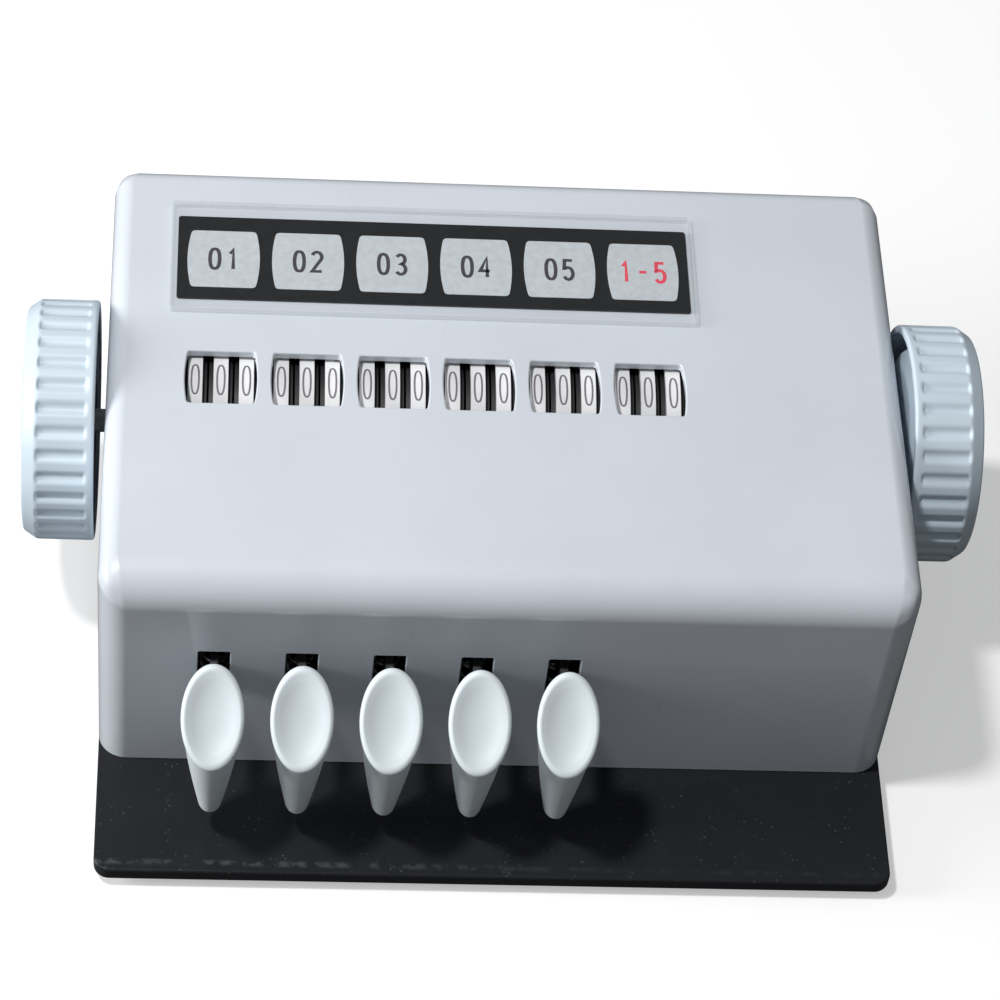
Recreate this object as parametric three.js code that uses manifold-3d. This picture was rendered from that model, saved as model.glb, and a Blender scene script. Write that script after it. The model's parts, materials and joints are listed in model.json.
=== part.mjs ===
// Desk tally counter: a painted housing on a base plate, five keys along the front,
// five three-wheel counters and a total counter under windows, a reset knob at each end.
// Millimetres, +Z up. The keys face -Y. The origin is on the floor, under the middle.
import * as THREE from "three";
import { mergeVertices } from "three/addons/utils/BufferGeometryUtils.js";
import Module from "manifold-3d";

// Housing
const HOUSING_WIDTH = 200;
const HOUSING_DEPTH = 136;
const HOUSING_HEIGHT = 73;
const HOUSING_WALL = 2;
const CORNER_RADIUS = 7;
const FRONT_BEND_RADIUS = 10;
const TOP_EDGE_RADIUS = 5;

// Base plate, feet and screws
const PLATE_THICKNESS = 4;
const PLATE_CORNER_RADIUS = 4;
const FRONT_LEDGE = 33.5;
const SIDE_LEDGE = 0;
const REAR_LEDGE = 1;
const FOOT_HEIGHT = 3;
const FOOT_RADIUS = 7;
const FOOT_CHAMFER = 1;
const FOOT_STEM_RADIUS = 2.5;
const FOOT_STEM_LENGTH = 2.5;
const FOOT_INSET = 20;
const SCREW_RADIUS = 1.5;
const SCREW_HEAD_RADIUS = 3;
const SCREW_HEAD_HEIGHT = 1.8;
const SCREW_SLOT = 0.8;
const SCREW_REACH = 10;
const PILOT_SPARE = 2;
const BOSS_RADIUS = 4.5;
const BOSS_HEIGHT = 18;
const BOSS_BITE = 0.5;

// Counters: six banks of three wheels, set from the left wall
const COUNTERS = 6;
const KEYS = 5;
const COUNTER_PITCH = 21.5;
const FIRST_COUNTER_INSET = 28.4;
const DRIVE_GAP = 2.3;
const WHEEL_RADIUS = 23;
const WHEEL_GAP = 0.5;
const WHEEL_SETBACK = 71.5;
const WHEEL_TOP_GAP = 1;
const RATCHET_RADIUS = 12;
const RATCHET_TEETH = 10;
const RATCHET_DEPTH = 2.5;
const RATCHET_THICKNESS = 1.2;

// Windows and label
const WINDOW_SETBACK = 65.5;
const WINDOW_DEPTH = 16.6;
const WINDOW_BOW = 0.7;
const WINDOW_OVERHANG = 0.35;
const LABEL_SETBACK = 104.4;
const LABEL_DEPTH = 27.6;
const LABEL_END_MARGIN = 11.7;
const LABEL_THICKNESS = 0.4;
const COVER_MARGIN = 1.8;
const COVER_DEPTH_MARGIN = 4.4;
const COVER_THICKNESS = 0.7;
const COVER_RIM = 0.8;

// Shafts, bushes, frame plates and knobs
const SHAFT_RADIUS = 3;
const SHAFT_GROOVE = 0.8;
const SPIGOT_RADIUS = 1.5;
const SPIGOT_LENGTH = 8;
const GROOVE_END_GAP = 1;
const PIVOT_RADIUS = 2;
const PIVOT_HEIGHT = 14;
const PIVOT_REAR_INSET = 21.5;
const BUSH_RADIUS = 5;
const BUSH_FLANGE_RADIUS = 7.5;
const BUSH_FLANGE = 1.5;
const FRAME_THICKNESS = 2;
const FRAME_FLANGE = 8;
const FRAME_SIDE_GAP = 3.9;
const FRAME_TOE = 12;
const FRAME_HEAD = 10;
const FRAME_HEEL = 8;
const KNOB_RADIUS = 30.5;
const KNOB_LENGTH = 18;
const KNOB_FLUTES = 32;
const KNOB_FLUTE_DEPTH = 1.1;
const KNOB_CHAMFER = 2;
const KNOB_GAP = 2.5;

// Keys
const KEY_STROKE_DEG = 3.2;
const KEY_WIDTH = 15.4;
const KEY_LENGTH = 26;
const KEY_TILT = Math.PI * 0.205;
const KEY_FRONT_GAP = 20;
const KEY_HEIGHT = 47.8;
const KEY_DISH = 2.6;
const KEY_TIP_HEIGHT = 9;
const KEY_TIP_RADIUS = 3.1;
const KEY_TIP_SETBACK = 18.5;
const KEY_TIP_STRETCH = 1.4;
const KEY_TIP_ROUND = 1.5;
const KEY_STEM_SHARES = [0.3, 0.6, 0.85, 1];
// A pad's rings, from the dish to the underside: share of the pad's size, lift along its normal.
const KEY_PAD_RINGS = [
  [0.35, -KEY_DISH],
  [0.7, -0.55 * KEY_DISH],
  [0.9, 0],
  [1, -0.8],
  [0.98, -2.5],
];
const SLOT_WIDTH = 7.8;
const SLOT_TOP = 47;
const SLOT_BOTTOM = 23;
const ARM_HEIGHT = 38;
const BLADE_HEIGHT = 10;
const BLADE_THICKNESS = 2;
const BLADE_GRIP = 15.5;
const LEVER_RAMP_GAP = 6;
const LEVER_RAMP_END = 22;
const HUB_RADIUS = 6;
const HUB_WIDTH = 6;

// Claws that turn the ratchets
const CLAW_SETBACK = 38;
const CLAW_THICKNESS = 1;
const CLAW_GAP = 0.6;
const CLAW_HALF_WIDTH = 3;
const CLAW_TAB_HALF = 1;
const CLAW_FOOT_HEIGHT = 5;
const CLAW_SHOULDER_DROP = 8;
const CLAW_HOOK_DROP = 5;
const CLAW_TIP = 2;

// Springs
const SPRING_SETBACK = 14;
const SPRING_RADIUS = 3.4;
const SPRING_WIRE = 0.5;
const SPRING_TURNS = 6;
const BAIL_SPRING_TURNS = 3;
const BAIL_SPRING_WIRE = 0.3;

// Total bail
const BAIL_SETBACK_FROM_PIVOT = 32;
const BAIL_BAR_DEPTH = 4;
const BAIL_BAR_HEIGHT = 3;
const BAIL_LOST_MOTION = 0.5;
const BAIL_ARM_BELOW_PIVOT = 5;
const BAIL_ARM_ABOVE_PIVOT = 4;
const BAIL_ARM_RISE = 1;

// Bell in the bay on the right
const BELL_SETBACK = 34;
const BELL_WALL = 1.2;
const BELL_HEIGHT = 7;
const BELL_RIM_HEIGHT = 10;
const BELL_SIDE_GAP = 1.5;
const BELL_SKIRT_SHARE = 0.45;
const BELL_INNER_SKIRT_SHARE = 0.35;
const BELL_BEND_SHARE = [0.8, 0.85];
const BELL_CROWN_SHARE = 0.4;
const STRIKER_BAY = 14.5;
const STRIKER_ARM = 28;
const STRIKER_TAIL = 8;
const STRIKER_ARM_HALF_WIDTH = 0.8;
const STRIKER_ARM_HALF_HEIGHT = 1.5;
const STRIKER_HUB_HALF_HEIGHT = 3;
const STRIKER_TRAVEL = 5;
const HAMMER_RADIUS = 2.2;
const HAMMER_HALF_HEIGHT = 2.5;
const HAMMER_LIFT = 2;
const POST_RADIUS = 1.8;
const POST_SHOULDER = 1.2;
const NUT_RADIUS = 3.24;
const NUT_HEIGHT = 2;
const CLIP_RADIUS = 2.88;
const CLIP_THICKNESS = 1;

// Gaps: between touching pieces, and round what turns
const FIT_GAP = 0.3;
const RUNNING_GAP = 0.15;

// How far a cutter runs past a face, how far joined pieces overlap, the smallest inner round
const OVERRUN = 1;
const OVERLAP = 0.2;
const SMALLEST_ROUND = 1;

// Values worked out from the sizes above
const plateDepth = FRONT_LEDGE + HOUSING_DEPTH + REAR_LEDGE;
const plateWidth = HOUSING_WIDTH + 2 * SIDE_LEDGE;
const plateTop = FOOT_HEIGHT + PLATE_THICKNESS;
const frontFace = FRONT_LEDGE - plateDepth / 2;
const wheelPitch = (COUNTER_PITCH - DRIVE_GAP) / 3;
const wheelWidth = wheelPitch - WHEEL_GAP;
const wheelHeight = HOUSING_HEIGHT - HOUSING_WALL - WHEEL_TOP_GAP - WHEEL_RADIUS;
const unitsFace = wheelPitch + wheelWidth / 2;
const innerEnd = HOUSING_WIDTH / 2 - HOUSING_WALL;
const counterX = (index) => FIRST_COUNTER_INSET - HOUSING_WIDTH / 2 + index * COUNTER_PITCH;
const bankCentre = (counterX(0) + counterX(COUNTERS - 1)) / 2;
const bankHalf = (counterX(COUNTERS - 1) - counterX(0)) / 2;
const pivotSetback = HOUSING_DEPTH - HOUSING_WALL - PIVOT_REAR_INSET;
const strokeAngle = THREE.MathUtils.degToRad(KEY_STROKE_DEG);
const leftPlateX = counterX(0) - unitsFace - FRAME_SIDE_GAP - FRAME_THICKNESS;
const clawX = unitsFace + FIT_GAP;
const rightPlateX = counterX(COUNTERS - 1) + clawX + BLADE_THICKNESS + FRAME_THICKNESS;
const knobInner = HOUSING_WIDTH / 2 + KNOB_GAP;
const labelHalf = bankHalf + LABEL_END_MARGIN;
const shaftSplit = (counterX(COUNTERS - 2) + counterX(COUNTERS - 1)) / 2;
const shaftEnd = knobInner + KNOB_LENGTH - KNOB_CHAMFER;
const screwInset = BOSS_RADIUS - BOSS_BITE;
const wheelSides = 24;
const smallSides = 16;
const screwSides = 12;
const keySides = 18;

// The gong fills the bay: its width beside the striker, or its room to the front if less.
const bayWidth = innerEnd - rightPlateX - FRAME_THICKNESS - STRIKER_BAY;
const bayFront = 2 * (BELL_SETBACK - HOUSING_WALL);
const gongRadius = Math.min(bayWidth, bayFront) / 2 - BELL_SIDE_GAP;
const gongX = innerEnd - BELL_SIDE_GAP - gongRadius;
const strikerX = gongX - gongRadius - HAMMER_RADIUS - STRIKER_TRAVEL - FIT_GAP;
const hammerHeight = BELL_RIM_HEIGHT + HAMMER_LIFT;

// Four places, each an x and a y: left then right, front then rear.
const cornerPlaces = (x, front, rear) => [
  [-x, front],
  [-x, rear],
  [x, front],
  [x, rear],
];
// The screws stand in the housing's inner corners.
const screwPlaces = cornerPlaces(
  innerEnd - screwInset,
  HOUSING_WALL + screwInset,
  HOUSING_DEPTH - HOUSING_WALL - screwInset,
);
// The feet stand under the plate's corners, clear of the screws.
const footPlaces = cornerPlaces(
  innerEnd - FOOT_INSET,
  FOOT_INSET - FRONT_LEDGE,
  HOUSING_DEPTH - FOOT_INSET,
);

const wasm = await Module();
wasm.setup();

// A closed geometry as a solid that can be cut and joined.
function solidOf(geometry) {
  const bare = geometry.index ? geometry.toNonIndexed() : geometry.clone();
  bare.deleteAttribute("normal");
  bare.deleteAttribute("uv");
  const merged = mergeVertices(bare, 1e-3);
  const mesh = new wasm.Mesh({
    numProp: 3,
    vertProperties: merged.attributes.position.array,
    triVerts: new Uint32Array(merged.index.array),
  });
  return new wasm.Manifold(mesh);
}

function geometryOf(solid) {
  const mesh = solid.getMesh();
  const geometry = new THREE.BufferGeometry();
  geometry.setAttribute("position", new THREE.BufferAttribute(mesh.vertProperties, 3));
  geometry.setIndex(new THREE.BufferAttribute(mesh.triVerts, 1));
  const flat = geometry.toNonIndexed();
  flat.computeVertexNormals();
  return flat;
}

// The first solid with all the others joined to it.
const joined = (first, ...rest) => rest.reduce((sum, next) => sum.add(next), first);
// The first solid with all the others cut from it.
const cut = (first, ...rest) => rest.reduce((left, next) => left.subtract(next), first);

// A flat outline in the YZ plane, extruded along +X from x.
function plateAlongX(outline, x, thickness) {
  const geometry = new THREE.ExtrudeGeometry(outline, {
    depth: thickness,
    bevelEnabled: false,
    curveSegments: 6,
  });
  const basis = new THREE.Matrix4().makeBasis(
    new THREE.Vector3(0, 1, 0),
    new THREE.Vector3(0, 0, 1),
    new THREE.Vector3(1, 0, 0),
  );
  return solidOf(geometry.applyMatrix4(basis).translate(x, 0, 0));
}

// A flat outline in the XZ plane, extruded along +Y from y.
function plateAlongY(outline, y, thickness) {
  const geometry = new THREE.ExtrudeGeometry(outline, {
    depth: thickness,
    bevelEnabled: false,
    curveSegments: 5,
  });
  return solidOf(geometry.rotateX(Math.PI / 2).translate(0, y + thickness, 0));
}

// A flat outline in the XY plane, extruded up from z.
function plateAlongZ(outline, z, thickness) {
  const geometry = new THREE.ExtrudeGeometry(outline, {
    depth: thickness,
    bevelEnabled: false,
    curveSegments: 5,
  });
  return solidOf(geometry.translate(0, 0, z));
}

function polygon(points) {
  return new THREE.Shape(points.map(([u, v]) => new THREE.Vector2(u, v)));
}

function box(x0, x1, y0, y1, z0, z1) {
  const geometry = new THREE.BoxGeometry(x1 - x0, y1 - y0, z1 - z0);
  return solidOf(geometry.translate((x0 + x1) / 2, (y0 + y1) / 2, (z0 + z1) / 2));
}

function rodAlongX(radius, x0, x1, y, z, sides = smallSides) {
  const geometry = new THREE.CylinderGeometry(radius, radius, x1 - x0, sides);
  return solidOf(geometry.rotateZ(-Math.PI / 2).translate((x0 + x1) / 2, y, z));
}

function rodAlongZ(radius, x, y, z0, z1, sides = smallSides) {
  const geometry = new THREE.CylinderGeometry(radius, radius, z1 - z0, sides);
  return solidOf(geometry.rotateX(Math.PI / 2).translate(x, y, (z0 + z1) / 2));
}

// A profile of [radius, height] pairs turned about the Z axis. It starts and ends on the
// axis, bottom first, or runs once round a ring, bottom outwards first.
function turned(profile, sides = smallSides) {
  const points = profile.map(([radius, height]) => new THREE.Vector2(radius, height));
  return new THREE.LatheGeometry(points, sides).rotateX(Math.PI / 2);
}

function roundedRectangle(width, depth, radius) {
  const x = width / 2;
  const y = depth / 2;
  const outline = new THREE.Shape();
  outline.moveTo(-x + radius, -y);
  outline.lineTo(x - radius, -y);
  outline.absarc(x - radius, -y + radius, radius, -Math.PI / 2, 0);
  outline.lineTo(x, y - radius);
  outline.absarc(x - radius, y - radius, radius, 0, Math.PI / 2);
  outline.lineTo(-x + radius, y);
  outline.absarc(-x + radius, y - radius, radius, Math.PI / 2, Math.PI);
  outline.lineTo(-x, -y + radius);
  outline.absarc(-x + radius, -y + radius, radius, Math.PI, Math.PI * 1.5);
  return outline;
}

// Flat front and back, sides that bow outwards by bow.
function barrelOutline(x, y, width, depth, bow) {
  const halfWidth = width / 2 - bow;
  const halfDepth = depth / 2;
  const outline = new THREE.Shape();
  outline.moveTo(x - halfWidth, y - halfDepth);
  outline.lineTo(x + halfWidth, y - halfDepth);
  outline.quadraticCurveTo(x + halfWidth + 2 * bow, y, x + halfWidth, y + halfDepth);
  outline.lineTo(x - halfWidth, y + halfDepth);
  outline.quadraticCurveTo(x - halfWidth - 2 * bow, y, x - halfWidth, y - halfDepth);
  return outline;
}

// A box with round upright corners, a large bend along its front edge and round top edges.
// Its inset says how far it lies inside the housing's outer surface.
function housingForm(inset, bottom) {
  const width = HOUSING_WIDTH - 2 * inset;
  const depth = HOUSING_DEPTH - 2 * inset;
  const top = HOUSING_HEIGHT - inset;
  const bend = Math.max(FRONT_BEND_RADIUS - inset, SMALLEST_ROUND);
  const edge = Math.max(TOP_EDGE_RADIUS - inset, SMALLEST_ROUND);
  const corner = Math.max(CORNER_RADIUS - inset, SMALLEST_ROUND);
  const plan = roundedRectangle(width, depth, corner);
  const side = new THREE.Shape();
  side.moveTo(inset, bottom);
  side.lineTo(HOUSING_DEPTH - inset, bottom);
  side.lineTo(HOUSING_DEPTH - inset, top - edge);
  side.absarc(HOUSING_DEPTH - inset - edge, top - edge, edge, 0, Math.PI / 2);
  side.lineTo(inset + bend, top);
  side.absarc(inset + bend, top - bend, bend, Math.PI / 2, Math.PI);
  const front = new THREE.Shape();
  front.moveTo(-width / 2, bottom);
  front.lineTo(width / 2, bottom);
  front.lineTo(width / 2, top - edge);
  front.absarc(width / 2 - edge, top - edge, edge, 0, Math.PI / 2);
  front.lineTo(-width / 2 + edge, top);
  front.absarc(-width / 2 + edge, top - edge, edge, Math.PI / 2, Math.PI);
  const upright = plateAlongZ(plan, bottom, top - bottom).translate([0, HOUSING_DEPTH / 2, 0]);
  const lengthways = plateAlongX(side, -width / 2, width);
  const across = plateAlongY(front, inset, depth);
  return upright.intersect(lengthways).intersect(across);
}

// The windows, the key slots and the holes for the shaft bushes.
function housingOpenings() {
  const under = HOUSING_HEIGHT - HOUSING_WALL - OVERRUN;
  const windowWidth = 2 * unitsFace - 2 * WINDOW_OVERHANG;
  const slotHalf = SLOT_WIDTH / 2;
  const slotRear = HOUSING_WALL + OVERRUN;
  const holeRadius = BUSH_RADIUS + FIT_GAP;
  const openings = [];
  for (let index = 0; index < COUNTERS; index++) {
    const x = counterX(index);
    const outline = barrelOutline(x, WINDOW_SETBACK, windowWidth, WINDOW_DEPTH, WINDOW_BOW);
    openings.push(plateAlongZ(outline, under, HOUSING_WALL + 2 * OVERRUN));
  }
  for (let index = 0; index < KEYS; index++) {
    const x = counterX(index);
    openings.push(box(x - slotHalf, x + slotHalf, -OVERRUN, slotRear, SLOT_BOTTOM, SLOT_TOP));
  }
  for (const end of [-1, 1]) {
    const from = end * (innerEnd + HOUSING_WALL / 2) - HOUSING_WALL;
    const to = from + 2 * HOUSING_WALL;
    openings.push(rodAlongX(holeRadius, from, to, WHEEL_SETBACK, wheelHeight));
  }
  return openings;
}

function housingSolid() {
  const shell = cut(housingForm(0, FIT_GAP), housingForm(HOUSING_WALL, -OVERRUN));
  const pilotRadius = SCREW_RADIUS + FIT_GAP;
  const pilotTop = SCREW_REACH + PILOT_SPARE;
  const bosses = [];
  const pilots = [];
  for (const [x, y] of screwPlaces) {
    bosses.push(rodAlongZ(BOSS_RADIUS, x, y, FIT_GAP, BOSS_HEIGHT));
    pilots.push(rodAlongZ(pilotRadius, x, y, -OVERRUN, pilotTop, screwSides));
  }
  return cut(joined(shell, ...bosses), ...pilots, ...housingOpenings());
}

function basePlateSolid() {
  const middle = (HOUSING_DEPTH + REAR_LEDGE - FRONT_LEDGE) / 2;
  const outline = roundedRectangle(plateWidth, plateDepth, PLATE_CORNER_RADIUS);
  const plate = plateAlongZ(outline, -PLATE_THICKNESS, PLATE_THICKNESS).translate([0, middle, 0]);
  const under = -PLATE_THICKNESS - OVERRUN;
  const recessTop = -PLATE_THICKNESS + SCREW_HEAD_HEIGHT + FIT_GAP;
  const stemTop = -PLATE_THICKNESS + FOOT_STEM_LENGTH;
  const holes = [];
  for (const [x, y] of screwPlaces) {
    holes.push(rodAlongZ(SCREW_RADIUS + FIT_GAP, x, y, under, OVERRUN, screwSides));
    holes.push(rodAlongZ(SCREW_HEAD_RADIUS + FIT_GAP, x, y, under, recessTop));
  }
  for (const [x, y] of footPlaces) {
    holes.push(rodAlongZ(FOOT_STEM_RADIUS + FIT_GAP, x, y, under, stemTop));
  }
  return cut(plate, ...holes);
}

function footGeometry() {
  const shoulder = FOOT_HEIGHT - FIT_GAP;
  return turned([
    [0, 0],
    [FOOT_RADIUS - FOOT_CHAMFER, 0],
    [FOOT_RADIUS, FOOT_CHAMFER],
    [FOOT_RADIUS, shoulder],
    [FOOT_STEM_RADIUS, shoulder],
    [FOOT_STEM_RADIUS, FOOT_HEIGHT + FOOT_STEM_LENGTH - FIT_GAP],
    [0, FOOT_HEIGHT + FOOT_STEM_LENGTH - FIT_GAP],
  ]);
}

function screwSolid() {
  const head = SCREW_HEAD_HEIGHT - FIT_GAP;
  const body = solidOf(
    turned(
      [
        [0, 0],
        [SCREW_HEAD_RADIUS, 0],
        [SCREW_HEAD_RADIUS, head],
        [SCREW_RADIUS, head],
        [SCREW_RADIUS, PLATE_THICKNESS + SCREW_REACH],
        [0, PLATE_THICKNESS + SCREW_REACH],
      ],
      screwSides,
    ),
  );
  const half = SCREW_SLOT / 2;
  const slot = box(-SCREW_HEAD_RADIUS, SCREW_HEAD_RADIUS, -half, half, -OVERRUN, head / 2);
  return cut(body, slot);
}

function labelCardGeometry() {
  return new THREE.BoxGeometry(2 * labelHalf, LABEL_DEPTH, LABEL_THICKNESS);
}

// A shallow clear tray, upside down over the card.
function labelCoverSolid() {
  const x = labelHalf + COVER_MARGIN;
  const y = LABEL_DEPTH / 2 + COVER_DEPTH_MARGIN;
  const under = LABEL_THICKNESS + 2 * FIT_GAP;
  const outer = box(-x, x, -y, y, 0, under + COVER_THICKNESS);
  const innerX = x - COVER_RIM;
  const innerY = y - COVER_RIM;
  const inner = box(-innerX, innerX, -innerY, innerY, -OVERRUN, under);
  return cut(outer, inner);
}

// A number wheel about the X axis, with its middle at the origin.
function wheelSolid() {
  const half = wheelWidth / 2;
  const bore = SHAFT_RADIUS + RUNNING_GAP;
  const section = [
    [bore, -half],
    [WHEEL_RADIUS, -half],
    [WHEEL_RADIUS, half],
    [bore, half],
    [bore, -half],
  ];
  const ring = turned(section, wheelSides);
  return solidOf(ring.rotateY(Math.PI / 2));
}

// Saw teeth on the units wheel's right side, where a lever's claw takes hold.
function ratchetSolid() {
  const points = [];
  const root = RATCHET_RADIUS - RATCHET_DEPTH;
  for (let tooth = 0; tooth < RATCHET_TEETH; tooth++) {
    const angle = (tooth * 2 * Math.PI) / RATCHET_TEETH;
    points.push([RATCHET_RADIUS * Math.cos(angle), RATCHET_RADIUS * Math.sin(angle)]);
    points.push([root * Math.cos(angle), root * Math.sin(angle)]);
  }
  const bore = SHAFT_RADIUS + RUNNING_GAP;
  const from = wheelWidth / 2 - OVERLAP;
  const to = wheelWidth / 2 + RATCHET_THICKNESS;
  const disc = plateAlongX(polygon(points), from, to - from);
  return cut(disc, rodAlongX(bore, from - OVERRUN, to + OVERRUN, 0, 0));
}

// A shaft along X with a reset groove along its top.
function grooveFor(x0, x1) {
  const half = SHAFT_GROOVE / 2;
  return box(x0, x1, -half, half, SHAFT_RADIUS - SHAFT_GROOVE, SHAFT_RADIUS + OVERRUN);
}

function resetShaftLeftSolid() {
  const end = shaftSplit - FIT_GAP / 2;
  const body = rodAlongX(SHAFT_RADIUS, -shaftEnd, end, 0, 0);
  const spigot = rodAlongX(SPIGOT_RADIUS, end - OVERRUN, end + SPIGOT_LENGTH, 0, 0);
  const groove = grooveFor(leftPlateX + 2 * FRAME_THICKNESS, end - GROOVE_END_GAP);
  return cut(joined(body, spigot), groove);
}

function resetShaftRightSolid() {
  const end = shaftSplit + FIT_GAP / 2;
  const body = rodAlongX(SHAFT_RADIUS, end, shaftEnd, 0, 0);
  const socketEnd = end + SPIGOT_LENGTH + OVERRUN;
  const socket = rodAlongX(SPIGOT_RADIUS + RUNNING_GAP, end - OVERRUN, socketEnd, 0, 0);
  const groove = grooveFor(end + GROOVE_END_GAP, rightPlateX - 2 * FRAME_THICKNESS);
  return cut(body, socket, groove);
}

// A flanged bush about X. The flange lies against the wall's inner side.
function bushSolid() {
  const bore = SHAFT_RADIUS + RUNNING_GAP;
  const ring = turned([
    [bore, 0],
    [BUSH_RADIUS, 0],
    [BUSH_RADIUS, HOUSING_WALL + FIT_GAP],
    [BUSH_FLANGE_RADIUS, HOUSING_WALL + FIT_GAP],
    [BUSH_FLANGE_RADIUS, HOUSING_WALL + FIT_GAP + BUSH_FLANGE],
    [bore, HOUSING_WALL + FIT_GAP + BUSH_FLANGE],
    [bore, 0],
  ]);
  return solidOf(ring.rotateY(Math.PI / 2));
}

// A fluted knob about X, from its inner face at 0 to its outer face.
function knobSolid() {
  const points = [];
  const stepsPerFlute = 4;
  const steps = KNOB_FLUTES * stepsPerFlute;
  for (let step = 0; step < steps; step++) {
    const angle = (step * 2 * Math.PI) / steps;
    const inFlute = step % stepsPerFlute >= stepsPerFlute / 2;
    const radius = inFlute ? KNOB_RADIUS - KNOB_FLUTE_DEPTH : KNOB_RADIUS;
    points.push([radius * Math.cos(angle), radius * Math.sin(angle)]);
  }
  const body = plateAlongX(polygon(points), 0, KNOB_LENGTH);
  const envelope = turned(
    [
      [0, 0],
      [KNOB_RADIUS - KNOB_CHAMFER / 2, 0],
      [KNOB_RADIUS, KNOB_CHAMFER / 2],
      [KNOB_RADIUS, KNOB_LENGTH - KNOB_CHAMFER],
      [KNOB_RADIUS - KNOB_CHAMFER, KNOB_LENGTH],
      [0, KNOB_LENGTH],
    ],
    KNOB_FLUTES,
  );
  const boreEnd = KNOB_LENGTH - KNOB_CHAMFER + FIT_GAP;
  const bore = rodAlongX(SHAFT_RADIUS + FIT_GAP, -OVERRUN, boreEnd, 0, 0);
  return cut(body.intersect(solidOf(envelope.rotateY(Math.PI / 2))), bore);
}

// An upright plate with a foot flange, holding the reset shaft and the key pivot.
function framePlateSolid(x, flangeSide) {
  const top = wheelHeight + 2.5 * SHAFT_RADIUS;
  const rear = pivotSetback + FRAME_HEEL;
  const outline = polygon([
    [WHEEL_SETBACK - FRAME_TOE, FIT_GAP],
    [rear, FIT_GAP],
    [rear, PIVOT_HEIGHT + FRAME_HEEL],
    [WHEEL_SETBACK + FRAME_HEAD, top],
    [WHEEL_SETBACK - FRAME_HEAD, top],
  ]);
  const web = plateAlongX(outline, x, FRAME_THICKNESS);
  const flangeFrom = flangeSide < 0 ? x - FRAME_FLANGE : x;
  const flange = box(
    flangeFrom,
    flangeFrom + FRAME_FLANGE + FRAME_THICKNESS,
    WHEEL_SETBACK + FRAME_HEAD,
    rear,
    FIT_GAP,
    FIT_GAP + FRAME_THICKNESS,
  );
  const from = x - OVERRUN;
  const to = x + FRAME_THICKNESS + OVERRUN;
  return cut(
    joined(web, flange),
    rodAlongX(SHAFT_RADIUS + RUNNING_GAP, from, to, WHEEL_SETBACK, wheelHeight),
    rodAlongX(PIVOT_RADIUS + FIT_GAP, from, to, pivotSetback, PIVOT_HEIGHT),
  );
}

// One oval ring of a key cap: its middle, its half width along X, its half length, its tilt.
function capRing(ring, count) {
  const points = [];
  for (let step = 0; step < count; step++) {
    const angle = (step * 2 * Math.PI) / count;
    const along = ring.length * Math.sin(angle);
    points.push([
      ring.width * Math.cos(angle),
      ring.y - along * Math.cos(ring.tilt),
      ring.z - along * Math.sin(ring.tilt),
    ]);
  }
  return points;
}

// A closed skin over rings of equal count, with a pole at each end.
function skinOver(rings, count) {
  const mean = (points, axis) => points.reduce((sum, point) => sum + point[axis], 0) / count;
  const middle = (points) => [mean(points, 0), mean(points, 1), mean(points, 2)];
  const vertices = [middle(rings[0]), ...rings.flat(), middle(rings.at(-1))];
  const index = [];
  const last = vertices.length - 1;
  for (let step = 0; step < count; step++) {
    const next = (step + 1) % count;
    index.push(0, 1 + next, 1 + step);
    for (let ring = 0; ring + 1 < rings.length; ring++) {
      const a = 1 + ring * count;
      const b = a + count;
      index.push(a + step, b + next, b + step, a + step, a + next, b + next);
    }
    const end = last - count;
    index.push(end + step, end + next, last);
  }
  const geometry = new THREE.BufferGeometry();
  geometry.setAttribute("position", new THREE.Float32BufferAttribute(vertices.flat(), 3));
  geometry.setIndex(index);
  return geometry;
}

// A dished oval pad that faces the user, on a stem that tapers down to a round tip.
function keyCapSolid() {
  const rings = KEY_PAD_RINGS.map(([scale, lift]) => ({
    width: (scale * KEY_WIDTH) / 2,
    length: (scale * KEY_LENGTH) / 2,
    y: -KEY_FRONT_GAP - lift * Math.sin(KEY_TILT),
    z: KEY_HEIGHT + lift * Math.cos(KEY_TILT),
    tilt: KEY_TILT,
  }));
  const pad = rings.at(-1);
  const tip = {
    width: KEY_TIP_RADIUS,
    length: KEY_TIP_RADIUS * KEY_TIP_STRETCH,
    y: -KEY_TIP_SETBACK,
    z: KEY_TIP_HEIGHT + KEY_TIP_ROUND,
  };
  for (const share of KEY_STEM_SHARES) {
    rings.push({
      width: THREE.MathUtils.lerp(pad.width, tip.width, share ** 1.35),
      length: THREE.MathUtils.lerp(pad.length, tip.length, share ** 0.8),
      y: THREE.MathUtils.lerp(pad.y, tip.y, share),
      z: THREE.MathUtils.lerp(pad.z, tip.z, share),
      tilt: KEY_TILT * (1 - share),
    });
  }
  rings.push({ ...tip, width: tip.width / 2, length: tip.length / 2, z: KEY_TIP_HEIGHT, tilt: 0 });
  const outlines = rings.map((ring) => capRing(ring, keySides));
  const skin = skinOver(outlines, keySides);
  const half = BLADE_HEIGHT / 2 + FIT_GAP;
  const pocket = box(
    -BLADE_THICKNESS / 2 - FIT_GAP,
    BLADE_THICKNESS / 2 + FIT_GAP,
    -BLADE_GRIP - FIT_GAP,
    0,
    ARM_HEIGHT - half,
    ARM_HEIGHT + half,
  );
  return cut(solidOf(skin), pocket);
}

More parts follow.
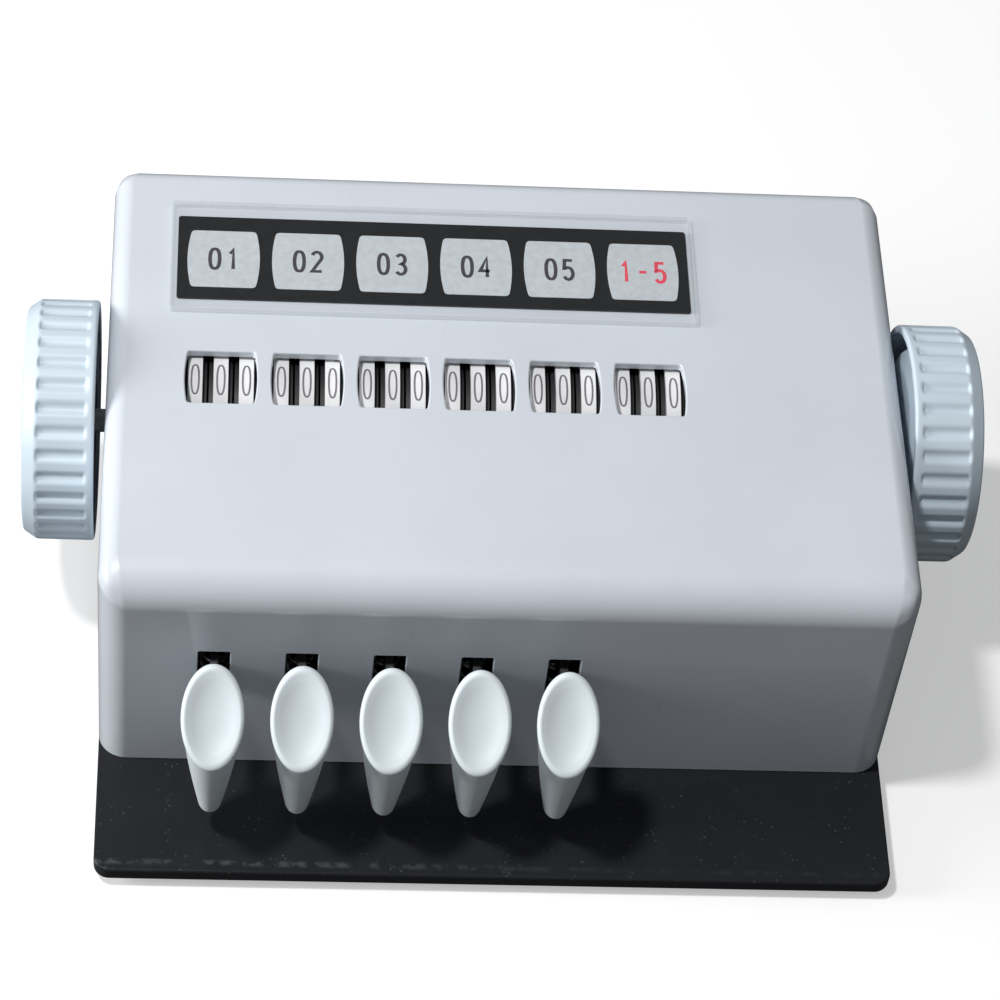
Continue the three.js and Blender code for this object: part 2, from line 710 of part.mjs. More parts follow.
// The hook that reaches between the wheels to the front of a ratchet.
function clawOutline(footLow, footHigh) {
  const front = CLAW_SETBACK - CLAW_HALF_WIDTH;
  const rear = CLAW_SETBACK + CLAW_HALF_WIDTH;
  const shoulder = wheelHeight - CLAW_SHOULDER_DROP;
  const tipY = WHEEL_SETBACK - RATCHET_RADIUS - CLAW_GAP;
  return polygon([
    [front, footLow],
    [rear, footLow],
    [rear, footHigh],
    [rear + CLAW_TIP, shoulder],
    [tipY - CLAW_TIP, wheelHeight - CLAW_HOOK_DROP],
    [tipY, wheelHeight],
    [CLAW_SETBACK, wheelHeight - CLAW_HALF_WIDTH],
    [front, shoulder],
  ]);
}

// A key lever: a blade through the slot, down under the wheels and back to the pivot, with
// a tab across to the claw. Its middle plane is x = 0.
function keyLeverSolid() {
  const half = BLADE_HEIGHT / 2;
  const rampFrom = SPRING_SETBACK + LEVER_RAMP_GAP;
  const rampTo = WHEEL_SETBACK - LEVER_RAMP_END;
  const slope = (PIVOT_HEIGHT - ARM_HEIGHT) / (rampTo - rampFrom);
  const tabHeight = ARM_HEIGHT + slope * (CLAW_SETBACK - rampFrom);
  const tabLow = tabHeight - CLAW_TAB_HALF;
  const outline = polygon([
    [-BLADE_GRIP, ARM_HEIGHT - half],
    [rampFrom, ARM_HEIGHT - half],
    [rampTo, PIVOT_HEIGHT - half],
    [pivotSetback, PIVOT_HEIGHT - half],
    [pivotSetback, PIVOT_HEIGHT + half],
    [rampTo, PIVOT_HEIGHT + half],
    [rampFrom, ARM_HEIGHT + half],
    [-BLADE_GRIP, ARM_HEIGHT + half],
  ]);
  const blade = plateAlongX(outline, -BLADE_THICKNESS / 2, BLADE_THICKNESS);
  const hub = rodAlongX(HUB_RADIUS, -HUB_WIDTH / 2, HUB_WIDTH / 2, pivotSetback, PIVOT_HEIGHT);
  const tab = box(
    0,
    clawX + CLAW_THICKNESS,
    CLAW_SETBACK - CLAW_HALF_WIDTH,
    CLAW_SETBACK + CLAW_HALF_WIDTH,
    tabLow,
    tabHeight + CLAW_TAB_HALF,
  );
  const claw = plateAlongX(clawOutline(tabLow, tabLow + CLAW_FOOT_HEIGHT), clawX, CLAW_THICKNESS);
  const bore = rodAlongX(PIVOT_RADIUS + RUNNING_GAP, -HUB_WIDTH, HUB_WIDTH, pivotSetback, PIVOT_HEIGHT);
  return cut(joined(blade, hub, tab, claw), bore);
}

// The bail: a bar across under the levers, an arm to the pivot at each end, and a claw for
// the total's ratchet. The levers' travel ends just above the bar.
function totalBailSolid() {
  const barSetback = pivotSetback - BAIL_SETBACK_FROM_PIVOT;
  const barFront = barSetback - BAIL_BAR_DEPTH / 2;
  const barRear = barSetback + BAIL_BAR_DEPTH / 2;
  const leverDrop = strokeAngle * (BAIL_SETBACK_FROM_PIVOT + BAIL_BAR_DEPTH / 2);
  const barTop = PIVOT_HEIGHT - BLADE_HEIGHT / 2 - leverDrop - BAIL_LOST_MOTION;
  const barLow = barTop - BAIL_BAR_HEIGHT;
  const armTop = barTop + BAIL_ARM_RISE;
  const left = counterX(0) - unitsFace + WHEEL_GAP;
  const right = counterX(COUNTERS - 1) + clawX;
  const end = right + BLADE_THICKNESS;
  const bar = box(left, end, barFront, barRear, barLow, barTop);
  const arm = polygon([
    [barFront, barLow],
    [barRear, barLow],
    [pivotSetback, PIVOT_HEIGHT - BAIL_ARM_BELOW_PIVOT],
    [pivotSetback, PIVOT_HEIGHT + BAIL_ARM_ABOVE_PIVOT],
    [barFront, armTop],
  ]);
  const clawLow = barLow + strokeAngle * (barSetback - CLAW_SETBACK);
  const foreArm = polygon([
    [CLAW_SETBACK - CLAW_HALF_WIDTH, clawLow],
    [barSetback, barLow],
    [barSetback, armTop],
    [CLAW_SETBACK - CLAW_HALF_WIDTH, clawLow + CLAW_FOOT_HEIGHT],
  ]);
  const claw = clawOutline(clawLow, clawLow + CLAW_FOOT_HEIGHT + BAIL_ARM_RISE);
  const hubs = [left, right].map((x) =>
    rodAlongX(HUB_RADIUS, x, x + BLADE_THICKNESS, pivotSetback, PIVOT_HEIGHT),
  );
  const body = joined(
    bar,
    plateAlongX(arm, left, BLADE_THICKNESS),
    plateAlongX(arm, right, BLADE_THICKNESS),
    plateAlongX(foreArm, right, BLADE_THICKNESS),
    plateAlongX(claw, right, BLADE_THICKNESS),
    ...hubs,
  );
  const boreRadius = PIVOT_RADIUS + RUNNING_GAP;
  return cut(body, rodAlongX(boreRadius, left - OVERRUN, end + OVERRUN, pivotSetback, PIVOT_HEIGHT));
}

// A helix about the Z axis.
class Helix extends THREE.Curve {
  constructor(radius, length, turns) {
    super();
    this.radius = radius;
    this.length = length;
    this.turns = turns;
  }

  getPoint(share, target = new THREE.Vector3()) {
    const angle = share * this.turns * 2 * Math.PI;
    const x = this.radius * Math.cos(angle);
    const y = this.radius * Math.sin(angle);
    return target.set(x, y, share * this.length);
  }
}

function coilGeometry(radius, length, turns, wire) {
  const section = new THREE.Shape().absarc(0, 0, wire, 0, 2 * Math.PI);
  return new THREE.ExtrudeGeometry(section, {
    steps: turns * 8,
    curveSegments: 3,
    extrudePath: new Helix(radius, length, turns),
  });
}

// A dome with a hole for its post, open below.
function gongGeometry() {
  const hole = POST_RADIUS + FIT_GAP;
  const inner = gongRadius - BELL_WALL;
  const crown = gongRadius * BELL_CROWN_SHARE;
  const ceiling = BELL_HEIGHT - BELL_WALL;
  const [bendRadius, bendHeight] = BELL_BEND_SHARE;
  return turned([
    [gongRadius, 0],
    [gongRadius, BELL_HEIGHT * BELL_SKIRT_SHARE],
    [gongRadius * bendRadius, BELL_HEIGHT * bendHeight],
    [crown, BELL_HEIGHT],
    [hole, BELL_HEIGHT],
    [hole, ceiling],
    [crown, ceiling],
    [inner * bendRadius, BELL_HEIGHT * bendHeight - BELL_WALL],
    [inner, BELL_HEIGHT * BELL_INNER_SKIRT_SHARE],
    [inner, 0],
    [gongRadius, 0],
  ]);
}

// A stud with a shoulder under the gong and a nut above it.
function bellPostGeometry() {
  const shoulder = BELL_RIM_HEIGHT + BELL_HEIGHT - BELL_WALL - FIT_GAP;
  const nut = BELL_RIM_HEIGHT + BELL_HEIGHT + FIT_GAP;
  return turned(
    [
      [0, FIT_GAP],
      [POST_RADIUS + POST_SHOULDER, FIT_GAP],
      [POST_RADIUS + POST_SHOULDER, shoulder],
      [POST_RADIUS, shoulder],
      [POST_RADIUS, nut],
      [NUT_RADIUS, nut],
      [NUT_RADIUS, nut + NUT_HEIGHT],
      [0, nut + NUT_HEIGHT],
    ],
    screwSides,
  );
}

// Hub, arm and hammer, about the striker post at the origin. The arm runs towards -Y.
function strikerSolid() {
  const level = (half) => [hammerHeight - half, hammerHeight + half];
  const hub = rodAlongZ(2 * POST_RADIUS, 0, 0, ...level(STRIKER_HUB_HALF_HEIGHT));
  const arm = box(
    -STRIKER_ARM_HALF_WIDTH,
    STRIKER_ARM_HALF_WIDTH,
    -STRIKER_ARM,
    STRIKER_TAIL,
    ...level(STRIKER_ARM_HALF_HEIGHT),
  );
  const hammer = rodAlongZ(HAMMER_RADIUS, 0, -STRIKER_ARM, ...level(HAMMER_HALF_HEIGHT));
  const bore = rodAlongZ(POST_RADIUS + RUNNING_GAP, 0, 0, ...level(STRIKER_HUB_HALF_HEIGHT + OVERRUN));
  return cut(joined(hub, arm, hammer), bore);
}

// A stud with a shoulder under the striker's hub and a clip above it.
function strikerPostGeometry() {
  const shoulder = hammerHeight - STRIKER_HUB_HALF_HEIGHT - FIT_GAP;
  const clip = hammerHeight + STRIKER_HUB_HALF_HEIGHT + FIT_GAP;
  return turned([
    [0, FIT_GAP],
    [NUT_RADIUS, FIT_GAP],
    [NUT_RADIUS, shoulder],
    [POST_RADIUS, shoulder],
    [POST_RADIUS, clip],
    [CLIP_RADIUS, clip],
    [CLIP_RADIUS, clip + CLIP_THICKNESS],
    [0, clip + CLIP_THICKNESS],
  ]);
}

function finish(color, roughness, metalness) {
  return new THREE.MeshStandardMaterial({ color, roughness, metalness });
}

const greyPaint = finish(0xcdd5d9, 0.4, 0);
const blackPaint = finish(0x1c1c1e, 0.3, 0);
const knobPlastic = finish(0xbfcbd4, 0.45, 0);
const keyPlastic = finish(0xdfe5e9, 0.3, 0);
const wheelPlastic = finish(0xf2f2f0, 0.5, 0);
const labelBlack = finish(0x202224, 0.5, 0);
const clearPlastic = finish(0xe8eef0, 0.1, 0);
const steel = finish(0x9a9da0, 0.35, 1);
const brass = finish(0xc2a25a, 0.3, 1);
const rubber = finish(0x202020, 0.9, 0);

const counter = new THREE.Group();
counter.name = "desk_tally_counter";

// Everything above the base plate is placed from the front face's foot.
const body = new THREE.Group();
body.position.set(0, frontFace, plateTop);
counter.add(body);

// The wheels, shafts and knobs are placed from the wheel axis.
const wheelAxis = new THREE.Group();
wheelAxis.position.set(0, WHEEL_SETBACK, wheelHeight);
body.add(wheelAxis);

function place(parent, name, shape, material, x = 0, y = 0, z = 0) {
  const geometry = shape.isBufferGeometry ? shape : geometryOf(shape);
  const mesh = new THREE.Mesh(geometry, material);
  mesh.name = name;
  mesh.position.set(x, y, z);
  parent.add(mesh);
  return mesh;
}

place(body, "housing", housingSolid(), greyPaint);
place(body, "base_plate", basePlateSolid(), blackPaint);
footPlaces.forEach(([x, y], index) => {
  place(body, `foot_${index + 1}`, footGeometry(), rubber, x, y, -plateTop);
});
screwPlaces.forEach(([x, y], index) => {
  place(body, `base_screw_${index + 1}`, screwSolid(), steel, x, y, -PLATE_THICKNESS);
});

const cardZ = HOUSING_HEIGHT + FIT_GAP + LABEL_THICKNESS / 2;
place(body, "label_card", labelCardGeometry(), labelBlack, bankCentre, LABEL_SETBACK, cardZ);
place(
  body,
  "label_cover",
  labelCoverSolid(),
  clearPlastic,
  bankCentre,
  LABEL_SETBACK,
  HOUSING_HEIGHT + FIT_GAP / 2,
);

for (let index = 0; index < COUNTERS; index++) {
  const bank = index < KEYS ? `counter_${index + 1}` : "total";
  ["hundreds", "tens", "units"].forEach((digit, order) => {
    const plain = wheelSolid();
    const wheel = digit === "units" ? joined(plain, ratchetSolid()) : plain;
    const x = counterX(index) + (order - 1) * wheelPitch;
    place(wheelAxis, `${bank}_${digit}`, wheel, wheelPlastic, x);
  });
}

for (let index = 0; index < KEYS; index++) {
  const x = counterX(index);
  const seat = ARM_HEIGHT - BLADE_HEIGHT / 2;
  const springLength = seat - 2 * FIT_GAP - 2 * SPRING_WIRE;
  const coil = coilGeometry(SPRING_RADIUS, springLength, SPRING_TURNS, SPRING_WIRE);
  place(body, `key_cap_${index + 1}`, keyCapSolid(), keyPlastic, x);
  place(body, `key_lever_${index + 1}`, keyLeverSolid(), steel, x);
  place(body, `key_spring_${index + 1}`, coil, steel, x, SPRING_SETBACK, FIT_GAP + SPRING_WIRE);
}

const pivotFrom = leftPlateX - OVERRUN;
const pivotTo = rightPlateX + FRAME_THICKNESS + OVERRUN;
place(
  body,
  "key_pivot_shaft",
  rodAlongX(PIVOT_RADIUS, pivotFrom, pivotTo, pivotSetback, PIVOT_HEIGHT),
  steel,
);
place(body, "total_bail", totalBailSolid(), steel);

const bailSpringLength = FRAME_SIDE_GAP - 2 * FIT_GAP - 2 * BAIL_SPRING_WIRE;
const bailSpring = place(
  body,
  "bail_spring",
  coilGeometry(SPRING_RADIUS, bailSpringLength, BAIL_SPRING_TURNS, BAIL_SPRING_WIRE),
  steel,
  leftPlateX + FRAME_THICKNESS + FIT_GAP + BAIL_SPRING_WIRE,
  pivotSetback,
  PIVOT_HEIGHT,
);
bailSpring.rotation.y = Math.PI / 2;

place(wheelAxis, "reset_shaft_left", resetShaftLeftSolid(), steel);
place(wheelAxis, "reset_shaft_right", resetShaftRightSolid(), steel);
const ends = [
  ["left", -1],
  ["right", 1],
];
for (const [side, sign] of ends) {
  const knob = place(wheelAxis, `reset_knob_${side}`, knobSolid(), knobPlastic, sign * knobInner);
  const bush = place(wheelAxis, `shaft_bush_${side}`, bushSolid(), brass, (sign * HOUSING_WIDTH) / 2);
  knob.rotation.z = sign < 0 ? Math.PI : 0;
  bush.rotation.z = sign < 0 ? 0 : Math.PI;
}
place(body, "frame_plate_left", framePlateSolid(leftPlateX, -1), steel);
place(body, "frame_plate_right", framePlateSolid(rightPlateX, 1), steel);

place(body, "bell_gong", gongGeometry(), brass, gongX, BELL_SETBACK, BELL_RIM_HEIGHT);
place(body, "bell_post", bellPostGeometry(), steel, gongX, BELL_SETBACK);
place(body, "striker", strikerSolid(), steel, strikerX, BELL_SETBACK + STRIKER_ARM);
place(body, "striker_post", strikerPostGeometry(), steel, strikerX, BELL_SETBACK + STRIKER_ARM);

export default counter;
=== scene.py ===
"""Desk tally counter: the finished pieces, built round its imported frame."""
import json
import math

import bmesh
import bpy
from bpy.props import FloatProperty, FloatVectorProperty, IntProperty, PointerProperty
from bpy.types import NodeSocket, Operator, Panel, PropertyGroup
from mathutils import Matrix, Vector


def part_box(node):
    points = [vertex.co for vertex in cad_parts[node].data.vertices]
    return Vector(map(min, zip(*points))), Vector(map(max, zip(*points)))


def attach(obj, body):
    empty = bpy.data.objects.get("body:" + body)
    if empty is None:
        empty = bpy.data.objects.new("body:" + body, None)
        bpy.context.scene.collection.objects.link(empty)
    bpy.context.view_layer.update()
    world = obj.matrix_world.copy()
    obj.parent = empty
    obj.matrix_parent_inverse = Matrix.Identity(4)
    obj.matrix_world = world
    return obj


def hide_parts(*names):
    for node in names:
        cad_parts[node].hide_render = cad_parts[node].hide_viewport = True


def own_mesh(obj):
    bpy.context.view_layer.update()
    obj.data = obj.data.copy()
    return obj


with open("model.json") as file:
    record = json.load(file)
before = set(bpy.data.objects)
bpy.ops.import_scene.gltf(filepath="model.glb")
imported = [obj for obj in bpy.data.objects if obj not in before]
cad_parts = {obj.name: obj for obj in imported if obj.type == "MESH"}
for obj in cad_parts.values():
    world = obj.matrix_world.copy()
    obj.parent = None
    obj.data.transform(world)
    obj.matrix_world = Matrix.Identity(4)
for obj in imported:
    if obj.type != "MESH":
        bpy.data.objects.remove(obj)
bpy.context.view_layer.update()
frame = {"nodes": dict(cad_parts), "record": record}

bl_info = {
    "name": "Desk Tally Counter",
    "version": (1, 0, 0),
    "blender": (4, 5, 0),
    "location": "View3D > Sidebar > Tally",
    "description": "Builds the finished pieces of a desk tally counter round its packed frame",
    "category": "Object",
}

MM = 0.001
KEYS = 5
BANKS = ["counter_1", "counter_2", "counter_3", "counter_4", "counter_5", "total"]
WHEELS = ["hundreds", "tens", "units"]
SIDES = ["left", "right"]
SCREWS = [f"base_screw_{number}" for number in range(1, 5)]
FEET = [f"foot_{number}" for number in range(1, 5)]
SHAFT_BORE = 3.15 * MM
FIGURE_SINK = -0.05 * MM
FIGURE_RISE = 0.02 * MM
FLUTE_RUN_OUT = 0.6 * MM

# A key pad's dish ends at this share of its size. Its rim then rises and rolls over to the
# underside: share of the pad's size, and lift in millimetres.
DISH_SHARE = 0.82
PAD_RIM = [
    (0.82, -0.12),
    (0.85, -0.01),
    (0.89, 0.0),
    (0.93, -0.09),
    (0.96, -0.28),
    (0.985, -0.6),
    (1.0, -1.05),
    (0.998, -1.5),
    (0.985, -2.1),
    (0.96, -2.7),
]

# A knob's side towards the housing, from the shaft's socket over the dome to the groove
# inside the rim: radius and depth in millimetres.
KNOB_BACK = [
    (0, 3.2),
    (3.4, 3.2),
    (3.4, 0.9),
    (9.0, 0.9),
    (9.4, 0.4),
    (20.0, 0.4),
    (23.4, 1.8),
    (25.2, 4.4),
    (25.6, 6.5),
    (27.6, 6.5),
    (28.2, 0.0),
]


# ---------------------------------------------------------------- sizes and colours


def size(label, note, millimetres):
    value = millimetres * MM
    return FloatProperty(name=label, description=note, default=value, unit="LENGTH", precision=5)


def angle(label, note, degrees):
    value = math.radians(degrees)
    return FloatProperty(name=label, description=note, default=value, unit="ROTATION")


def amount(label, note, value):
    return FloatProperty(name=label, description=note, default=value, min=0.0)


def colour(label, note, red, green, blue):
    return FloatVectorProperty(
        name=label,
        description=note,
        default=(red, green, blue, 1.0),
        size=4,
        subtype="COLOR",
        min=0.0,
        max=1.0,
    )


class TALLY_PG_housing(PropertyGroup):
    wall: size("Wall", "Thickness of the housing's sheet", 2.0)
    corner_radius: size("Corner radius", "Round of the four upright corners", 7.0)
    front_bend: size("Front bend", "Round between the top and the front face", 10.0)
    top_edge: size("Top edge", "Round of the other top edges", 5.0)
    lip: size("Lip", "Softness of the edges of windows and slots", 0.4)
    window_setback: size("Window setback", "From the front face to the middle of the windows", 65.5)
    window_width: size("Window width", "Width of a window at its middle", 18.0)
    window_depth: size("Window depth", "Front to back size of a window", 16.6)
    window_bow: size("Window bow", "How far a window's sides bow outwards", 0.7)
    slot_width: size("Slot width", "Width of a key slot", 7.8)
    slot_low: size("Slot foot", "From the base plate to the foot of a key slot", 23.0)
    slot_high: size("Slot head", "From the base plate to the head of a key slot", 47.0)
    shaft_hole: size("Shaft hole", "Radius of the holes for the shaft bushes", 5.3)
    boss_radius: size("Boss radius", "Radius of the corner bosses that take the base screws", 4.5)
    boss_height: size("Boss height", "Height of the corner bosses", 17.7)
    boss_bore: size("Boss bore", "Radius of the screw hole in a boss", 1.8)
    paint: colour("Paint", "Light grey enamel of the housing", 0.625, 0.665, 0.72)


class TALLY_PG_plate(PropertyGroup):
    corner_radius: size("Corner radius", "Round of the plate's four corners", 4.0)
    edge_round: size("Edge round", "Round along the plate's upper and lower edges", 0.7)
    recess_radius: size("Recess radius", "Radius of the recess for a base screw's head", 3.3)
    recess_depth: size("Recess depth", "Depth of the recess for a base screw's head", 2.1)
    screw_hole: size("Screw hole", "Radius of a base screw's hole", 1.8)
    foot_hole: size("Foot hole", "Radius of the hole for a foot's stem", 2.8)
    foot_hole_depth: size("Foot hole depth", "Depth of the hole for a foot's stem", 2.5)
    scuff_setback: size("Scuff setback", "From the front edge to the worn line", 2.8)
    paint: colour("Paint", "Black enamel of the base plate", 0.0165, 0.0172, 0.0198)
    speck: colour("Speck", "Dust and scuffs on the black enamel", 0.075, 0.08, 0.085)


class TALLY_PG_label(PropertyGroup):
    tab_width: size("Tab width", "Width of a label tab", 18.4)
    tab_depth: size("Tab depth", "Front to back size of a label tab", 19.0)
    tab_bow: size("Tab bow", "How far a tab's sides bow outwards", 1.0)
    tab_corner: size("Tab corner", "Round of a tab's corners", 1.0)
    tab_shift: size("Tab shift", "How far the tabs lie in front of the card's middle", 0.6)
    tab_thickness: size("Tab thickness", "Thickness of a tab on its card", 0.12)
    figure_height: size("Figure height", "Height of the tab figures", 7.6)
    figure_width: size("Figure width", "Width of one tab figure", 3.4)
    figure_step: size("Figure step", "Spacing of the tab figures", 4.5)
    stroke: size("Stroke", "Width of a printed stroke", 0.95)
    card: colour("Card", "Black of the label card", 0.007, 0.0075, 0.009)
    tab: colour("Tab", "Pale grey of the tabs", 0.56, 0.60, 0.63)
    ink: colour("Ink", "Dark figures on the five counter tabs", 0.055, 0.05, 0.065)
    total_ink: colour("Total ink", "Red figures on the total's tab", 0.80, 0.07, 0.11)


class TALLY_PG_wheel(PropertyGroup):
    band: size("Band", "Width of the white band that carries the figures", 3.7)
    shoulder_drop: size("Shoulder drop", "How far the dark shoulders lie below the band", 1.9)
    web: size("Web", "Thickness of the wheel between hub and rim", 2.4)
    rim: size("Rim", "Depth of the rim below the shoulders", 2.2)
    hub: size("Hub", "Radius of the hub", 6.5)
    ratchet_tip: size("Ratchet tip", "Radius of the ratchet's tips", 12.0)
    ratchet_root: size("Ratchet root", "Radius of the ratchet's roots", 9.5)
    ratchet_width: size("Ratchet width", "Thickness of the ratchet", 1.2)
    figure_height: size("Figure height", "Height of a wheel figure", 8.8)
    figure_width: size("Figure width", "Width of a wheel figure", 2.35)
    stroke: size("Stroke", "Width of a wheel figure's stroke", 0.46)
    view_angle: angle("View angle", "How far in front of the wheel's top the shown figure is", 10.0)
    white: colour("White", "Band of the wheels", 0.80, 0.80, 0.81)
    black: colour("Black", "Body of the wheels", 0.010, 0.010, 0.012)
    ink: colour("Ink", "Figures on the wheels", 0.17, 0.155, 0.18)


class TALLY_PG_knob(PropertyGroup):
    flutes: IntProperty(
        name="Flutes", description="Grooves round each reset knob", default=32, min=8, max=64
    )
    flute_depth: size("Flute depth", "Depth of a groove", 0.9)
    outer_rim: size("Outer rim", "Length of the plain sloping rim at the outer end", 3.5)
    rim_drop: size("Rim drop", "How much the outer rim slopes inwards", 2.3)
    inner_rim: size("Inner rim", "Length of the plain rim beside the housing", 1.9)
    plastic: colour("Plastic", "Pale blue-grey moulding of the knobs", 0.56, 0.655, 0.73)


class TALLY_PG_key(PropertyGroup):
    width: size("Width", "Width of a key pad", 15.4)
    length: size("Length", "Length of a key pad along its slope", 26.0)
    tilt: angle("Tilt", "Slope of a key pad towards the user", 36.9)
    front_gap: size("Front gap", "From the front face to the middle of a pad", 20.0)
    height: size("Height", "From the base plate to the middle of a pad", 47.8)
    dish: size("Dish", "Depth of a pad's hollow", 1.2)
    tip_height: size("Tip height", "From the base plate to the foot of the stem", 9.0)
    tip_radius: size("Tip radius", "Half width of the stem's foot", 3.1)
    tip_setback: size("Tip setback", "From the front face to the stem's foot", 18.5)
    plastic: colour("Plastic", "Near-white moulding of the keys", 0.665, 0.725, 0.76)


class TALLY_PG_spring(PropertyGroup):
    wire: size("Wire", "Thickness of a key spring's wire", 1.0)
    turns: amount("Turns", "Turns of a key spring", 6.0)


class TALLY_PG_stage(PropertyGroup):
    camera_place: FloatVectorProperty(
        name="Camera place",
        description="Where the camera stands",
        default=(-0.07656, -0.58214, 0.79907),
        subtype="TRANSLATION",
        unit="LENGTH",
        precision=5,
    )
    yaw: angle("Yaw", "How far the camera turns to the right", 7.49)
    pitch: angle("Pitch", "How far the camera looks down", 51.88)
    roll: angle("Roll", "How far the camera leans to its right", 7.43)
    lens: amount("Lens", "Focal length in millimetres on a 36 mm wide frame", 134.73)
    key_power: amount("Key light", "Power of the small main light, high on the left", 15.2)
    fill_power: amount("Fill light", "Power of the wide light low on the left", 12.0)
    sky: amount("Sky", "Strength of the even light all round", 0.20)
    floor_glow: amount("Floor glow", "How much the white floor lights itself", 0.42)
    floor: colour("Floor", "Pale floor", 0.62, 0.62, 0.62)
    bounce: colour("Bounce", "Darker ground that the object is lit from below by", 0.12, 0.12, 0.12)


# ---------------------------------------------------------------- meshes


def eased(points, radius, steps=3, closed=True):
    """The same outline with a small round at each corner."""
    out = []
    count = len(points)
    for index, corner in enumerate(points):
        corner = Vector(corner)
        if not closed and index in (0, count - 1):
            out.append(tuple(corner))
            continue
        before = Vector(points[index - 1]) - corner
        after = Vector(points[(index + 1) % count]) - corner
        reach = min(radius, 0.45 * before.length, 0.45 * after.length)
        start = corner + before.normalized() * reach
        end = corner + after.normalized() * reach
        for step in range(steps + 1):
            share = step / steps
            out.append(tuple(start.lerp(corner, share).lerp(corner.lerp(end, share), share)))
    return out


def loft(bm, rings, closed=False):
    """A skin over rings of equal count. Its ends are closed by a face each, or it is a loop."""
    rows = [[bm.verts.new(point) for point in ring] for ring in rings]
    faces = []
    following = rows[1:] + rows[:1] if closed else rows[1:]
    for row, after in zip(rows, following):
        for index in range(len(row)):
            other = (index + 1) % len(row)
            faces.append(bm.faces.new((row[index], row[other], after[other], after[index])))
    if not closed:
        faces.append(bm.faces.new(list(reversed(rows[0]))))
        faces.append(bm.faces.new(rows[-1]))
    return faces


def turn(bm, section, centre, count=48, axis="Z", sign=1):
    """A closed section of (radius, height) pairs, turned about the X or Z axis through centre.
    A section that starts and ends on the axis has a pole at each end."""
    rings = []
    for radius, height in section:
        ring = []
        for step in range(count):
            turned = 2 * math.pi * step / count
            u = radius * math.cos(turned)
            v = radius * math.sin(turned)
            place = (sign * height, u, v) if axis == "X" else (u, v, sign * height)
            ring.append(Vector(centre) + Vector(place))
        rings.append(ring)
    on_axis = section[0][0] == 0
    faces = loft(bm, rings, closed=not on_axis)
    return [face for face in faces if len(face.verts) == 4] if on_axis else faces


def mesh_of(name, bm):
    """The finished mesh: doubles merged, poles closed, faces out."""
    bmesh.ops.remove_doubles(bm, verts=bm.verts, dist=1e-7)
    bmesh.ops.recalc_face_normals(bm, faces=bm.faces)
    mesh = bpy.data.meshes.new(name)
    bm.to_mesh(mesh)
    bm.free()
    return mesh


def object_of(name, mesh):
    """A new object with this mesh, linked to the scene."""
    made = bpy.data.objects.new(name, mesh)
    bpy.context.scene.collection.objects.link(made)
    return made


def settle(made):
    """Turns an object's modifiers into its plain mesh."""
    graph = bpy.context.evaluated_depsgraph_get()
    mesh = bpy.data.meshes.new_from_object(
        made.evaluated_get(graph), preserve_all_data_layers=True, depsgraph=graph
    )
    made.modifiers.clear()
    made.data = mesh


def cut_from(made, cutters):
    """Cuts the closed shapes in the bmesh cutters from the object."""
    tool = object_of("cutters", mesh_of("cutters", cutters))
    modifier = made.modifiers.new("cut", "BOOLEAN")
    modifier.object = tool
    modifier.solver = "EXACT"
    settle(made)
    bpy.data.objects.remove(tool)


def smooth(made, limit=32.0):
    """Shades curved faces smooth, keeps flat faces flat and true edges sharp."""
    mesh = made.data
    mesh.polygons.foreach_set("use_smooth", [True] * len(mesh.polygons))
    mesh.set_sharp_from_angle(angle=math.radians(limit))
    modifier = made.modifiers.new("flat_faces", "WEIGHTED_NORMAL")
    modifier.keep_sharp = True
    settle(made)


def finish(made, body, materials, replaces=(), limit=32.0):
    """Gives a piece its finish and joins it to its body."""
    if not made.data.materials:
        for material in materials:
            made.data.materials.append(material)
    smooth(made, limit)
    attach(made, body)
    if replaces:
        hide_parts(*replaces)


def middle(node):
    """Middle of a CAD node's box."""
    low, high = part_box(node)
    return (low + high) / 2


def rounded_outline(x0, x1, y0, y1, radius, steps=8):
    """A rectangle with round corners."""
    points = []
    for corner_x, corner_y, first in ((x1, y0, -90), (x1, y1, 0), (x0, y1, 90), (x0, y0, 180)):
        x = corner_x - radius if corner_x == x1 else corner_x + radius
        y = corner_y - radius if corner_y == y1 else corner_y + radius
        for step in range(steps + 1):
            turned = math.radians(first + 90 * step / steps)
            points.append((x + radius * math.cos(turned), y + radius * math.sin(turned)))
    return points


def prism(bm, outline, *levels):
    """A straight skin over one outline, from level to level."""
    return loft(bm, [[(x, y, z) for x, y in outline] for z in levels])


def inset_ring(low, high, inset, radius, z, steps=8):
    """A level ring with round corners, inset from the box from low to high."""
    outline = rounded_outline(
        low.x + inset, high.x - inset, low.y + inset, high.y - inset, radius, steps
    )
    return [(x, y, z) for x, y in outline]


def barrel_outline(width, depth, bow, corner, steps=8):
    """An outline with straight ends and bowed sides, middle at the origin."""
    half = depth / 2
    side = []
    for step in range(steps + 1):
        share = 2 * step / steps - 1
        side.append((width / 2 - bow * share * share, half * share))
    points = side + [(-x, -y) for x, y in side]
    out = []
    for index, point in enumerate(points):
        if index % (steps + 1) not in (0, steps):
            out.append(point)
            continue
        here = Vector(point)
        before = Vector(points[index - 1])
        after = Vector(points[(index + 1) % len(points)])
        start = here + (before - here).normalized() * corner
        end = here + (after - here).normalized() * corner
        for part in range(4):
            share = part / 3
            out.append(tuple(start.lerp(here, share).lerp(here.lerp(end, share), share)))
    return out


# ---------------------------------------------------------------- figures


def arc(x, y, across, up, first, last, steps=9):
    """Part of an oval about (x, y), from the first angle to the last, in degrees."""
    points = []
    for step in range(steps + 1):
        turned = math.radians(first + (last - first) * step / steps)
        points.append((x + across * math.cos(turned), y + up * math.sin(turned)))
    return points


